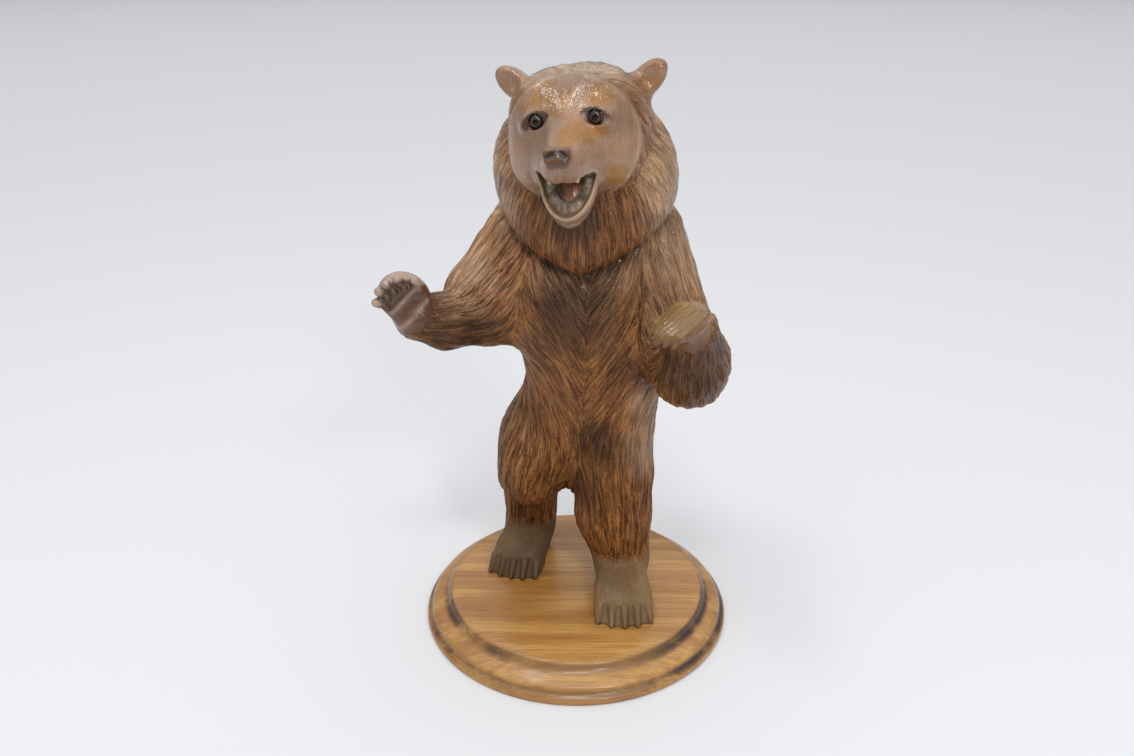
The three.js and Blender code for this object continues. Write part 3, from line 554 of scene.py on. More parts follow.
def coat_weights(p):
    """How much each body coat counts at the points, and 1 on the ruff."""
    away = np.stack([coat.away(p) for coat in BODY_COATS])
    weights = np.exp(-COAT_SHARPNESS * (away - away.min(0)))
    return weights / weights.sum(0), ramp(p[:, 2] - ruff_hem(p), -1, 1)


def coat_depth(p):
    """How deep the furrows between the locks are cut."""
    weights, on_ruff = coat_weights(p)
    body = sum(w * furrow(coat, p) for w, coat in zip(weights, BODY_COATS))
    return LOCK_DEPTH * (RUFF_LOCK_SHARE * on_ruff * furrow(RUFF_COAT, p) + (1 - on_ruff) * body)


def bear(p):
    """Distance to the bear with its locks of fur."""
    d = smooth_bear(p)
    close = np.flatnonzero(np.abs(d) < 4)
    fur = furry(p[close])
    hairy = close[fur > 0]
    if len(hairy):
        d[hairy] += fur[fur > 0] * coat_depth(p[hairy])
    return np.maximum(d, SOLE - p[:, 2])


def evaluate(field, points, chunk=150000):
    """A field at many points, worked out a chunk at a time to save memory."""
    return np.concatenate([field(points[n:n + chunk]) for n in range(0, len(points), chunk)])


# Distance, in millimetres, that stands for anywhere far from the surface
FAR = 1e3


def surface_net(field, low, high, cell, stride=4):
    """Quads of a field's zero level on a lattice, worked out only near the surface."""
    blocks = [int(np.ceil((b - a) / (cell * stride))) for a, b in zip(low, high)]
    count = [n * stride + 1 for n in blocks]
    centres = [a + (np.arange(n) + 0.5) * cell * stride for a, n in zip(low, blocks)]
    grid = np.stack(np.meshgrid(*centres, indexing="ij"), -1)
    coarse = evaluate(field, grid.reshape(-1, 3)).reshape(blocks)
    close = np.abs(coarse) < cell * stride * np.sqrt(3) / 2 * 1.5
    value = np.where(coarse < 0, -FAR, FAR)
    for axis in range(3):
        close = close.repeat(stride, axis)
        value = value.repeat(stride, axis)
    lattice = np.full(count, FAR)
    lattice[:-1, :-1, :-1] = value
    wanted = np.zeros(count, bool)
    corners = list(np.ndindex(2, 2, 2))

    def shifted(array, corner):
        return array[tuple(slice(c, n - 1 + c) for c, n in zip(corner, count))]

    for corner in corners:
        shifted(wanted, corner)[...] |= close
    places = np.argwhere(wanted)
    lattice[wanted] = evaluate(field, places * cell + low)
    inside = lattice < 0
    full = sum(shifted(inside, corner).astype(np.int8) for corner in corners)
    active = (full > 0) & (full < 8)
    cells = np.argwhere(active)
    index = np.full(active.shape, -1)
    index[active] = np.arange(len(cells))
    total = np.zeros((len(cells), 3))
    hits = np.zeros(len(cells))
    for axis in range(3):
        for corner in corners:
            if corner[axis]:
                continue
            start = cells + corner
            end = start.copy()
            end[:, axis] += 1
            a = lattice[tuple(start.T)]
            b = lattice[tuple(end.T)]
            crossed = (a < 0) != (b < 0)
            place = start.astype(float)
            place[:, axis] += np.where(crossed, a / np.where(crossed, a - b, 1), 0)
            total[crossed] += place[crossed]
            hits[crossed] += 1
    points = total / hits[:, None] * cell + low
    quads = []
    for axis in range(3):
        first, second = (axis + 1) % 3, (axis + 2) % 3
        edges = np.argwhere(np.diff(inside, axis=axis))
        inner = (edges[:, first] > 0) & (edges[:, first] < count[first] - 1)
        inner &= (edges[:, second] > 0) & (edges[:, second] < count[second] - 1)
        edges = edges[inner]
        ring = []
        for u, v in ((-1, -1), (0, -1), (0, 0), (-1, 0)):
            around = edges.copy()
            around[:, first] += u
            around[:, second] += v
            ring.append(index[tuple(around.T)])
        ring = np.stack(ring, 1)
        outward = inside[tuple(edges.T)]
        quads.append(np.where(outward[:, None], ring, ring[:, ::-1]))
    return points, np.concatenate(quads)


TETRAHEDRON = np.array([(1, 1, 1), (1, -1, -1), (-1, 1, -1), (-1, -1, 1)], float)


def gradient(field, points, step=0.3):
    """Slope of a field, from four points round each one."""
    total = np.zeros_like(points)
    for corner in TETRAHEDRON:
        total += evaluate(field, points + step * corner)[:, None] * corner
    return total / (4 * step)


def settled(field, points, most=0.6):
    """Points drawn onto the zero level, and the skin's normal there."""
    slope = gradient(field, points)
    square = np.maximum(np.einsum("ij,ij->i", slope, slope), 0.1)
    step = np.clip(evaluate(field, points) / square, -most, most)
    return points - step[:, None] * slope, slope / np.sqrt(square)[:, None]


# Noise with a lattice of its own, the same on every run, and how far it spreads about its mean
NOISE_SPREAD = 0.19


def hashed(cell):
    """A number from 0 to 1 for each cell, mixed up by large primes."""
    n = (cell[:, 0] * 73856093) ^ (cell[:, 1] * 19349663) ^ (cell[:, 2] * 83492791)
    n = (n ^ (n >> 13)) * 1274126177
    return ((n ^ (n >> 16)) & 0xFFFF) / 0xFFFF


def noise(p, size):
    q = p / size
    base = np.floor(q).astype(np.int64)
    t = q - base
    t = t * t * (3 - 2 * t)
    total = np.zeros(len(p))
    for corner in np.ndindex(2, 2, 2):
        share = np.where(corner, t, 1 - t).prod(1)
        total += share * hashed(base + corner)
    return total


def fur_way(p, normal):
    """The way that the fur, or on bare wood the gouge, runs over the skin."""
    weights, on_ruff = coat_weights(p)
    body = sum(w[:, None] * coat.lay(p)[2] for w, coat in zip(weights, BODY_COATS))
    radial = p - (RUFF_COAT.start + RUFF_COAT.span * RUFF_ROOT)
    radial /= np.maximum(length(radial), 1)[:, None]
    ruff = radial + (0, RUFF_BACK, -RUFF_FALL)
    ruff = mixed(ruff, (0, 0, -1), bare_head(p))
    way = on_ruff[:, None] * ruff + (1 - on_ruff)[:, None] * body
    for at, axes in ((PAW_UP_AT, PAW_UP_AXES), (PAW_DOWN_AT, PAW_DOWN_AXES)):
        way = mixed(way, axes[0], 1 - outside(p, at, 22, 30))
    way -= np.einsum("ij,ij->i", way, normal)[:, None] * normal
    return way / np.maximum(length(way), 1e-3)[:, None]


def strokes(p, way, size, reach):
    """Noise drawn out along the fur: 0 in a gouge's groove, 1 on the ridge beside it."""
    total = np.zeros(len(p))
    steps = np.linspace(-reach, reach, 2 * int(np.ceil(reach / size)) + 1)
    fall = np.cos(steps / reach * np.pi / 2.3)
    for step, share in zip(steps, fall):
        total += share * noise(p + step * way, size)
    mean = fall.sum() / 2
    spread = np.sqrt((fall ** 2).sum()) * NOISE_SPREAD
    return ramp((total - mean) / spread, -STROKE_CONTRAST, STROKE_CONTRAST)


def mesh_object(name, points, faces):
    """A smooth-shaded mesh object from points in millimetres."""
    mesh = bpy.data.meshes.new(name)
    mesh.vertices.add(len(points))
    mesh.vertices.foreach_set("co", (points * MM).astype(np.float32).ravel())
    mesh.loops.add(faces.size)
    mesh.loops.foreach_set("vertex_index", faces.astype(np.int32).ravel())
    mesh.polygons.add(len(faces))
    mesh.polygons.foreach_set("loop_start", np.arange(0, faces.size, faces.shape[1], dtype=np.int32))
    mesh.polygons.foreach_set("use_smooth", np.ones(len(faces), bool))
    mesh.update(calc_edges=True)
    mesh.validate()
    obj = bpy.data.objects.new(name, mesh)
    bpy.context.scene.collection.objects.link(obj)
    return obj


def points_of(obj):
    co = np.empty(len(obj.data.vertices) * 3, np.float32)
    obj.data.vertices.foreach_get("co", co)
    return co.reshape(-1, 3).astype(float) / MM


def store(obj, name, values):
    """Keeps a number, or a row of three, for each vertex."""
    kind, key = {1: ("FLOAT", "value"), 2: ("FLOAT_VECTOR", "vector")}[values.ndim]
    attribute = obj.data.attributes.new(name, kind, "POINT")
    attribute.data.foreach_set(key, values.astype(np.float32).ravel())


def apply_modifiers(obj):
    shown = obj.evaluated_get(bpy.context.evaluated_depsgraph_get())
    mesh = bpy.data.meshes.new_from_object(shown)
    mesh.name = obj.data.name
    obj.modifiers.clear()
    obj.data = mesh


def mask_edge(p):
    """Height of the fine ridge along the mask's edge, less than 0 in the groove outside it."""
    q = seen_from(p, HEAD_AT, HEAD_AXES)
    oval = mask_oval(q)
    ridge = RIM_HEIGHT * bell(oval, RIM_AT, 0.018)
    groove = RIM_GROOVE_DEPTH * bell(oval, 1.025, 0.022)
    broken = ramp(noise(p, 9), 0.15, 0.5)
    return (ridge - groove) * broken * (1 - ramp(q[:, 1], -22, -12)) * ramp(q[:, 2], -38, -30)


def smile_fold(p):
    """Depth of the fold between the muzzle and each cheek."""
    m = paired(seen_from(p, HEAD_AT, HEAD_AXES))
    away = np.maximum(limb(m, (21, -50, -3), (27, -44, -20), 0.5, 0.5), 0)
    return FOLD_DEPTH * bell(away, 0, 2.2)


def paw_grooves(p):
    """Depth of the grooves along the fingers over the back of the lowered paw."""
    q = seen_from(p, PAW_DOWN_AT, PAW_DOWN_AXES)
    across = q[:, 1] + 0.8 * np.sin(q[:, 0] / 6)
    line = np.abs(np.sin(np.pi * across / PAW_GROOVE_PITCH)) ** 1.5
    return PAW_GROOVE_DEPTH * (1 - line) * (1 - outside(p, PAW_DOWN_AT, 20, 27)) * ramp(q[:, 2], -1, 3)


def carve_bear():
    """The bear's mesh: its solid's form, with gouge strokes and fine relief along the normal."""
    low, high = (np.array(corner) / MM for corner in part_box("bear"))
    points, quads = surface_net(bear, low - MARGIN, high + MARGIN, CELL)
    points, _ = settled(bear, points)
    points, normal = settled(bear, points)
    stroke = strokes(points, fur_way(points, normal), STROKE_WIDTH, STROKE_REACH)
    _, on_ruff = coat_weights(points)
    depth = STROKE_DEPTH * (1 - (1 - RUFF_STROKE_SHARE) * on_ruff)
    height = depth * furry(points) * (stroke - STROKE_LEVEL)
    height += mask_edge(points) - smile_fold(points) - paw_grooves(points)
    points = points + height[:, None] * normal
    points[:, 2] = np.maximum(points[:, 2], SOLE)
    obj = mesh_object("carved_bear", points, quads)
    fewer = obj.modifiers.new("fewer", "DECIMATE")
    fewer.ratio = min(1, BEAR_FACES / (2 * len(quads)))
    apply_modifiers(obj)
    obj.data.polygons.foreach_set("use_smooth", np.ones(len(obj.data.polygons), bool))
    return obj


def mixed(colour, other, share):
    return colour + (other - colour) * share[:, None]


# Stains of the wood, and colours of painted shade and painted highlights, as linear red, green and blue
FUR = (0.215, 0.082, 0.021)
# Tan of wear and of paler places, also used for painted light on fur that faces up
WORN_AND_LIT_FUR = (0.43, 0.26, 0.145)
CROWN = (0.43, 0.31, 0.21)
BIB = (0.22, 0.08, 0.022)
FACE = (0.345, 0.2, 0.12)
FACE_ORANGE = (0.32, 0.14, 0.022)
EDGE = (0.56, 0.41, 0.29)
LIP = (0.6, 0.42, 0.26)
NOSE = (0.13, 0.055, 0.026)
# Painted shade inside the mouth and the nostrils
MOUTH_AND_NOSTRIL_SHADE = (0.02, 0.011, 0.007)
TEETH = (0.62, 0.5, 0.38)
TONGUE = (0.36, 0.15, 0.07)
EYE_CORNER = (0.55, 0.38, 0.3)
# Painted shade in the eye sockets
EYE_SHADE = (0.085, 0.042, 0.024)
# The palm's darker stain with painted shade
PALM_STAIN_AND_SHADE = (0.12, 0.055, 0.026)
# Painted highlight on the palm's ridges and fingertips
FINGERTIP_HIGHLIGHT = (0.6, 0.42, 0.32)
PAW_BACK = (0.3, 0.17, 0.06)
FOOT = (0.22, 0.135, 0.064)

# How much of the stain's brightness the painted shade leaves in the dark places and on the right foot,
# and of the gloss the feet
DEEPEST_SHADE, RIGHT_FOOT_SHADE = 0.4, 0.65
LEAST_GLOSS = 0.15

# Orange patches of the face's mask: where they are on the head across and up, and how far they reach
PATCHES = [
    (-10, 29, 16, 11),
    (23, 31, 11, 9),
    (7, 10, 10, 8),
    (20, 7, 9, 4.5),
    (31, -23, 9, 11),
    (1, 44, 14, 3),
]

# Painted shade on the fur under the head, under the forearms, low on the belly, between the legs and on
# the right shank, and places where the fur is paler: a middle and a reach
SHADE_SPOTS = [((0, -32, 280), 44), ((88, -66, 250), 42), ((-76, -28, 262), 34), ((-104, -30, 276), 30),
              ((-38, 44, 75), 20), ((8, -2, 120), 28), ((0, -45, 352), 26), ((14, -26, 168), 28)]
PALE_SPOTS = [((80, 2, 318), 44), ((-84, -4, 308), 24), ((62, -14, 378), 34), ((60, -8, 200), 28),
              ((61, -8, 160), 34), ((84, -30, 285), 20)]


def near(distance, inner=0.2, outer=1.0):
    """1 on a form's skin, 0 away from it."""
    return 1 - ramp(distance, inner, outer)


def spots(p, places, cloud):
    """1 in the middle of each place, 0 away from them all."""
    share = np.zeros(len(p))
    for middle, reach in places:
        away = length(p - middle) / reach + 0.6 * (cloud - 0.5)
        share = np.maximum(share, near(away, 0.25, 1.15))
    return share


def stain_fur(p, normal, on_ruff):
    """Red-brown stain, turned tan by painted light from above where the coat looks up, and tan with wear
    on the ruff.
    """
    q = seen_from(p, HEAD_AT, HEAD_AXES)
    cloud = noise(p, 26) * 0.6 + noise(p, 9) * 0.4
    # Painted light from above: fur that faces up is paler
    painted_light = ramp(normal[:, 2] + 0.5 * (cloud - 0.5), 0.0, 0.85) * ramp(p[:, 2], 40, 260)
    colour = np.tile(FUR, (len(p), 1))
    colour = mixed(colour, BIB, on_ruff * (1 - ramp(normal[:, 2], -0.35, 0.1)))
    side = np.abs(q[:, 0]) / 60
    colour = mixed(colour, WORN_AND_LIT_FUR, on_ruff * ramp(side + 0.4 * (cloud - 0.5), 0.55, 0.95) * 0.55)
    colour = mixed(colour, WORN_AND_LIT_FUR, painted_light * 0.5)
    colour = mixed(colour, WORN_AND_LIT_FUR, spots(p, PALE_SPOTS, cloud) * 0.7)
    # Painted shade in the dark places
    colour = mixed(colour, colour * DEEPEST_SHADE, spots(p, SHADE_SPOTS, cloud))
    return mixed(colour, CROWN, on_ruff * ramp(q[:, 2], 34, 44) * 0.8)


def stain_face(colour, p, q, on_head):
    """The mask with its orange patches and pale rim, the ears, and the nose with painted shade in its
    nostrils.
    """
    colour = mixed(colour, FACE, bare_head(p) * on_head)
    face = on_head * near(mask_oval(q), 0.94, 1.0) * near(q[:, 1], -30, -20)
    edge_noise = 0.7 * (noise(p, 7) - 0.5) + 0.4 * (noise(p, 2.5) - 0.5)
    for x, z, wide, high in PATCHES:
        reach = np.hypot((q[:, 0] - x) / wide, (q[:, 2] - z) / high) + edge_noise
        colour = mixed(colour, FACE_ORANGE, 0.85 * face * near(reach, 0.7, 1.15))
    ear = on_head * near(ears(q), 0.5, 4)
    colour = mixed(colour, FACE_ORANGE, 0.55 * ear * ramp(noise(p, 7), 0.35, 0.6))
    rim = bell(mask_oval(q), RIM_AT, 0.016) * ramp(noise(p, 6), 0.25, 0.6)
    colour = mixed(colour, EDGE, 0.6 * rim * on_head * near(q[:, 1], -24, -14) * ramp(q[:, 2], -36, -30))
    colour = mixed(colour, NOSE, on_head * near(nose_pad(q), 0.2, 1.4) * ramp(-q[:, 1], 79, 82))
    # Painted shade in the nostrils
    return mixed(colour, MOUTH_AND_NOSTRIL_SHADE, on_head * near(nostrils(q), 0, 0.9))


def stain_mouth(colour, p, q, on_head):
    """The mouth with painted shade in its cavity, its tongue, gums and teeth, the teeth darker with it
    towards the front, and the pale lip round it.
    """
    j = seen_from(q, JAW_AT, JAW_AXES)
    inside = on_head * near(mouth(q, j), -0.6, 0.6)
    # Painted shade inside the mouth
    colour = mixed(colour, MOUTH_AND_NOSTRIL_SHADE, inside)
    colour = mixed(colour, TONGUE, on_head * near(tongue(j)))
    gum = on_head * near(teeth(j), 0.3, 1.2) * near(mouth(q, j), 0.2, 1)
    wet = ramp(noise(p, 2.4) + 0.3 * noise(p, 1.2), 0.45, 0.85)
    # Towards the front the teeth give way to the painted shade of the mouth
    colour = mixed(colour, TEETH, gum * (0.4 + 0.6 * wet) * (1 - 0.5 * ramp(j[:, 1], 8, 20)))
    colour = mixed(colour, LIP, on_head * near(fangs(q), 0.3, 1))
    front_teeth = bell(j[:, 1], 26, 3) * gum * ramp(np.sin(j[:, 0] * 1.3), -0.3, 0.4)
    colour = mixed(colour, LIP, 0.8 * front_teeth)
    lip = bell(mouth(q, j), 1.0, 0.8) * on_head * (1 - inside)
    return mixed(colour, LIP, 0.95 * lip)


def stain_sockets(colour, q, on_head):
    """Painted shade in the eye sockets, with pale corners on the left one, and a painted shadow as a dark
    line along the upper lids.
    """
    outline, deep = almond(q)
    m = paired(q)
    above = seen_from(m, LIDS_AT, LID_AXES)[:, 2]
    socket = on_head * near(outline, -0.3, 0.4) * near(deep, 2, 5)
    corner = ramp(np.abs(m[:, 0] - EYE_AT[0]), 5, 8) * (q[:, 0] > 0)
    # Painted shade in the sockets
    colour = mixed(colour, EYE_SHADE, socket)
    colour = mixed(colour, EYE_CORNER, socket * corner * near(above, -1, 3))
    # Painted shadow under the upper lids
    lid_shadow = bell(outline, 0, 0.7) * near(deep, 2, 5) * on_head
    return mixed(colour, EYE_SHADE, 0.8 * lid_shadow * ramp(above, 0, 2))


def stain_head(colour, p):
    q = seen_from(p, HEAD_AT, HEAD_AXES)
    on_head = near(length(q), 95, 105)
    colour = stain_face(colour, p, q, on_head)
    colour = stain_mouth(colour, p, q, on_head)
    return stain_sockets(colour, q, on_head)


def stain_paws(colour, p, normal):
    """A palm darkened by its stain and by painted shade, with painted highlights on its ridges and
    fingertips, and a tan back on the lowered paw.
    """
    up = seen_from(p, PAW_UP_AT, PAW_UP_AXES)
    palm = 1 - outside(p, PAW_UP_AT, 24, 31)
    # Darker stain and painted shade on the palm
    colour = mixed(colour, PALM_STAIN_AND_SHADE, palm)
    ridges = bell(up[:, 0], -1, 1.6) + bell(up[:, 0], -13, 1.6)
    # Painted highlight on the palm's ridges
    painted_light = palm * ridges * ramp(up[:, 2], 2, 4.5) * (1 - ramp(up[:, 0], 2, 3))
    colour = mixed(colour, FINGERTIP_HIGHLIGHT, 0.45 * painted_light)
    # Painted highlight on the fingertips
    rim = np.hypot(up[:, 0] + 2, up[:, 1] * 1.1 - 2) + 3 * (noise(p, 5) - 0.5)
    tips = palm * ramp(rim, 16, 19) * ramp(up[:, 0] + 0.4 * up[:, 1], 2, 6)
    colour = mixed(colour, FINGERTIP_HIGHLIGHT, 0.9 * tips)
    on_lowered = 1 - outside(p, PAW_DOWN_AT, 19, 30)
    return mixed(colour, PAW_BACK, on_lowered * ramp(normal[:, 2], -0.2, 0.3))


def stain_feet(colour, p):
    on_foot = near(p[:, 2], 50, 62)
    colour = mixed(colour, FOOT, on_foot)
    # Painted shade on the right foot
    return mixed(colour, colour * RIGHT_FOOT_SHADE, on_foot * near(p[:, 0], -12, 8))


def stain_bear(obj):
    """Gives each vertex its stain, how furry and how glossy it is, its stroke, the fur's way and how much
    painted shade its recess gets.
    """
    p = points_of(obj)
    normal = gradient(smooth_bear, p)
    normal /= np.maximum(length(normal), 1e-6)[:, None]
    way = fur_way(p, normal)
    # How enclosed each vertex is, for the painted shade in recesses
    hollow_shade = np.clip(1 - evaluate(smooth_bear, p + HOLLOW_SHADE_REACH * normal) / HOLLOW_SHADE_REACH, 0, 1)
    _, on_ruff = coat_weights(p)
    colour = stain_head(stain_fur(p, normal, on_ruff), p)
    colour = stain_feet(stain_paws(colour, p, normal), p)
    q = seen_from(p, HEAD_AT, HEAD_AXES)
    in_mouth = near(mouth(q, seen_from(q, JAW_AT, JAW_AXES)), 0, 2)
    smoother = np.maximum(0.45 * on_ruff * ramp(q[:, 2], 0, 34), 0.4 * spots(p, PALE_SPOTS, noise(p, 26)))
    store(obj, "stain", colour)
    store(obj, "fur", furry(p) * (1 - smoother))
    store(obj, "stroke", strokes(p, way, STROKE_WIDTH, STROKE_REACH))
    store(obj, "way", way)
    store(obj, "hollow_shade", hollow_shade * (1 - in_mouth) * (1 - 0.7 * bare_head(p)))
    store(obj, "gloss", LEAST_GLOSS + (1 - LEAST_GLOSS) * ramp(p[:, 2], 70, 300))


class Paint:
    """A material's node graph, built from its inputs up to the shader."""

    def __init__(self, name):
        self.material = bpy.data.materials.new(name)
        self.material.use_nodes = True
        self.tree = self.material.node_tree
        self.shader = self.tree.nodes["Principled BSDF"]

    def node(self, kind, settings=None, **inputs):
        node = self.tree.nodes.new("ShaderNode" + kind)
        for key, value in (settings or {}).items():
            setattr(node, key, value)
        for key, value in inputs.items():
            self.feed(node.inputs[key.replace("_", " ")], value)
        return node

    def feed(self, socket, value):
        if isinstance(value, bpy.types.NodeSocket):
            self.tree.links.new(value, socket)
        elif value is not None:
            socket.default_value = value

    def attribute(self, name, output="Fac"):
        return self.node("Attribute", {"attribute_name": name}).outputs[output]

    def here(self):
        """The place on the object, in metres."""
        return self.node("TexCoord").outputs["Object"]

    def stretched(self, scale, vector=None):
        return self.node("Mapping", Vector=vector or self.here(), Scale=scale).outputs[0]

    def noise(self, scale, vector=None, detail=3.0, roughness=0.5, distortion=0.0):
        made = self.node("TexNoise", Vector=vector or self.here(), Scale=scale, Detail=detail,
                         Roughness=roughness, Distortion=distortion)
        return made.outputs["Fac"]

    def math(self, operation, a, b=None):
        node = self.node("Math", {"operation": operation})
        self.feed(node.inputs[0], a)
        self.feed(node.inputs[1], b)
        return node.outputs[0]

    def plus(self, a, b):
        return self.math("ADD", a, b)

    def times(self, a, b):
        return self.math("MULTIPLY", a, b)

    def spread(self, value, low, high, start=0.0, end=1.0):
        """`start` up to `low` and `end` from `high` on, eased in between."""
        node = self.node("MapRange", {"interpolation_type": "SMOOTHSTEP"}, Value=value)
        for key, number in (("From Min", low), ("From Max", high), ("To Min", start), ("To Max", end)):
            self.feed(node.inputs[key], number)
        return node.outputs[0]

    def mix(self, share, a, b, how="MIX"):
        node = self.node("Mix", {"data_type": "RGBA", "blend_type": how, "clamp_factor": True})
        self.feed(node.inputs[0], share)
        for socket, value in ((node.inputs[6], a), (node.inputs[7], b)):
            self.feed(socket, (*value, 1) if isinstance(value, tuple) and len(value) == 3 else value)
        return node.outputs[2]

    def shaded(self, colour, tone):
        """A colour made darker or lighter by a number."""
        grey = self.node("CombineColor", Red=tone, Green=tone, Blue=tone).outputs[0]
        return self.mix(1.0, colour, grey, "MULTIPLY")

    def drawn_out(self, way, scale, reach, count):
        """Noise drawn out along a direction: the mean of samples taken a step apart."""
        place = self.here()
        total = None
        for step in np.linspace(-reach, reach, count):
            moved = self.node("VectorMath", {"operation": "MULTIPLY_ADD"})
            for socket, value in zip(moved.inputs, (way, (step, step, step), place)):
                self.feed(socket, value)
            sample = self.noise(scale, moved.outputs[0], detail=0.0)
            total = sample if total is None else self.plus(total, sample)
        return self.math("DIVIDE", total, float(count))

    def bump(self, height, distance, strength=1.0):
        return self.node("Bump", Height=height, Strength=strength, Distance=distance).outputs[0]

    def finish(self, **sockets):
        for key, value in sockets.items():
            self.feed(self.shader.inputs[key.replace("_", " ")], value)
        return self.material


# The finest strokes are noise drawn out along the fur: grains in a metre, reach in metres and samples
HAIR_GRAIN, HAIR_REACH, HAIR_SAMPLES = 820.0, 0.006, 9
HAIR_SHARE = 0.65

# The stain is darker in a groove and paler on a ridge than between them, and flecked all over
IN_GROOVE = (0.4, 0.31, 0.22)
ON_RIDGE = (1.75, 1.85, 1.95)
FLECK = (0.06, 0.028, 0.012)
FLECK_GRAIN, CLOUD_GRAIN, VARNISH_GRAIN = 650.0, 30.0, 330.0
RELIEF_DEPTH, VARNISH_DEPTH = 0.0005, 0.0003


def bear_material():
    m = Paint("carved_wood")
    stain = m.attribute("stain", "Color")
    fur = m.attribute("fur")
    gloss = m.attribute("gloss")
    hairs = m.spread(m.drawn_out(m.attribute("way", "Vector"), HAIR_GRAIN, HAIR_REACH, HAIR_SAMPLES),
                     0.445, 0.555)
    flecks = m.noise(FLECK_GRAIN, detail=2.0)
    stroke = m.times(m.attribute("stroke"), 1 - HAIR_SHARE)
    relief = m.plus(stroke, m.times(hairs, HAIR_SHARE))
    dark = m.mix(1.0, stain, IN_GROOVE, "MULTIPLY")
    bright = m.mix(1.0, stain, ON_RIDGE, "MULTIPLY")
    carved = m.mix(m.spread(relief, 0.1, 0.45), dark, stain)
    carved = m.mix(m.spread(relief, 0.5, 0.9, 0.0, 0.9), carved, bright)
    bare = m.mix(m.spread(hairs, 0.1, 0.9, 0.0, 0.22), stain, dark)
    colour = m.mix(fur, bare, carved)
    colour = m.shaded(colour, m.spread(m.noise(CLOUD_GRAIN, detail=3.0), 0.35, 0.65, 0.8, 1.15))
    # Painted shade: the colour is darkened in recesses
    colour = m.shaded(colour, m.spread(m.attribute("hollow_shade"), 0.2, 0.95, 1.0, 0.4))
    colour = m.mix(m.spread(flecks, 0.6, 0.72, 0.0, 0.3), colour, FLECK)
    rough = m.math("SUBTRACT", m.spread(flecks, 0.3, 0.7, 0.5, 0.62), m.times(gloss, 0.16))
    height = m.times(hairs, m.plus(m.times(fur, 0.75), 0.25))
    height = m.plus(height, m.times(flecks, 0.3))
    normal = m.bump(height, RELIEF_DEPTH)
    varnish = m.bump(m.plus(height, m.noise(VARNISH_GRAIN, detail=1.0)), VARNISH_DEPTH)
    coat = m.times(gloss, m.math("SUBTRACT", 1.0, m.times(fur, 0.6)))
    return m.finish(Base_Color=colour, Roughness=rough, Normal=normal, Specular_IOR_Level=0.13,
                    Coat_Weight=coat, Coat_Roughness=0.1, Coat_Normal=varnish)


# The plinth's edge: how far each point is in from the widest, and its height
PLINTH_LIP = [(1, 0), (0, 1.8), (0.4, 5)]
PLINTH_BAND = [(4.6, 7.8), (4.8, 10.4), (6.6, 13), (15.4, 17)]
PLINTH_BEAD = [(18.6, 19.8), (19.4, 22.8), (21.4, 24.6), (27, 25.4)]
PLINTH_STEPS = 256
INNER_RINGS = (92, 70, 40)
COVE_INWARD = 18
LIP_INWARD, LOWER_COVE_HEIGHT = 3, 7.6


def rounded_off(line, rounds):
    """A line with its corners cut off, over and over, and its ends kept."""
    for _ in range(rounds):
        a, b = line[:-1], line[1:]
        cut = np.stack([0.75 * a + 0.25 * b, 0.25 * a + 0.75 * b], 1).reshape(-1, 2)
        line = np.concatenate([line[:1], cut, line[-1:]])
    return line


def turned(name, profile, steps):
    """A turned solid from its profile, from the middle of the underside to the middle of the top."""
    angle = np.linspace(0, 2 * np.pi, steps, endpoint=False)
    ring = np.stack([np.cos(angle), np.sin(angle)], 1)
    points = []
    for r, z in profile[1:-1]:
        points.append(np.column_stack([ring * r, np.full(steps, z)]))
    points.append([(0, 0, profile[0][1]), (0, 0, profile[-1][1])])
    points = np.concatenate(points)
    rows = len(profile) - 2
    here = np.arange(steps)
    after = (here + 1) % steps
    faces = []
    for row in range(rows - 1):
        a, b = row * steps, (row + 1) * steps
        faces.append(np.stack([a + here, a + after, b + after], 1))
        faces.append(np.stack([a + here, b + after, b + here], 1))
    bottom, top = rows * steps, rows * steps + 1
    faces.append(np.stack([np.full(steps, bottom), after, here], 1))
    last = (rows - 1) * steps
    faces.append(np.stack([np.full(steps, top), last + here, last + after], 1))
    return mesh_object(name, points, np.concatenate(faces))


def plateau(x, middle, width):
    """Like a bell, with a flatter top and steeper sides."""
    return np.exp(-((x - middle) / width) ** 4)


def make_plinth():
    """The turned board, and grime with painted shade in its coves and along its foot, heaviest at its
    sides, where more shade is painted.
    """
    edge = np.array([(PLINTH_RADIUS - inward, z) for inward, z in PLINTH_LIP + PLINTH_BAND + PLINTH_BEAD])
    edge = rounded_off(edge, 2)
    inner = [(r, PLINTH_TOP) for r in INNER_RINGS]
    profile = np.concatenate([[(0, 0), (PLINTH_RADIUS - LIP_INWARD, 0)], edge, inner, [(0, PLINTH_TOP)]])
    obj = turned("oak_plinth", profile, PLINTH_STEPS)
    p = points_of(obj)
    r = np.hypot(p[:, 0], p[:, 1])
    cove = plateau(r, PLINTH_RADIUS - COVE_INWARD, 3.4)
    lower_cove = plateau(r, PLINTH_RADIUS - LIP_INWARD, 3) * plateau(p[:, 2], LOWER_COVE_HEIGHT, 3)
    foot_edge = 1 - ramp(p[:, 2], 0.5, 2.5)
    # Painted shade: heavier at the sides, lighter at the front
    shade_at_sides = 0.45 + 0.55 * ramp(np.abs(p[:, 0]) / PLINTH_RADIUS, 0.25, 0.7)
    store(obj, "grime_and_shade", np.max([cove, lower_cove, 0.6 * foot_edge], 0) * shade_at_sides)
    return obj


# The plinth is glued from boards along X, each with the oak's grain in a place of its own
FIRST_JOINT, BOARDS_IN_A_METRE = 0.045, 11.0
DARK_OAK, PALE_OAK = (0.39, 0.175, 0.038), (0.58, 0.31, 0.088)
# Grime and painted shade in the coves and along the foot share one colour
STREAK, PORE, COVE_GRIME_AND_SHADE = (0.3, 0.12, 0.026), (0.16, 0.065, 0.02), (0.055, 0.026, 0.014)


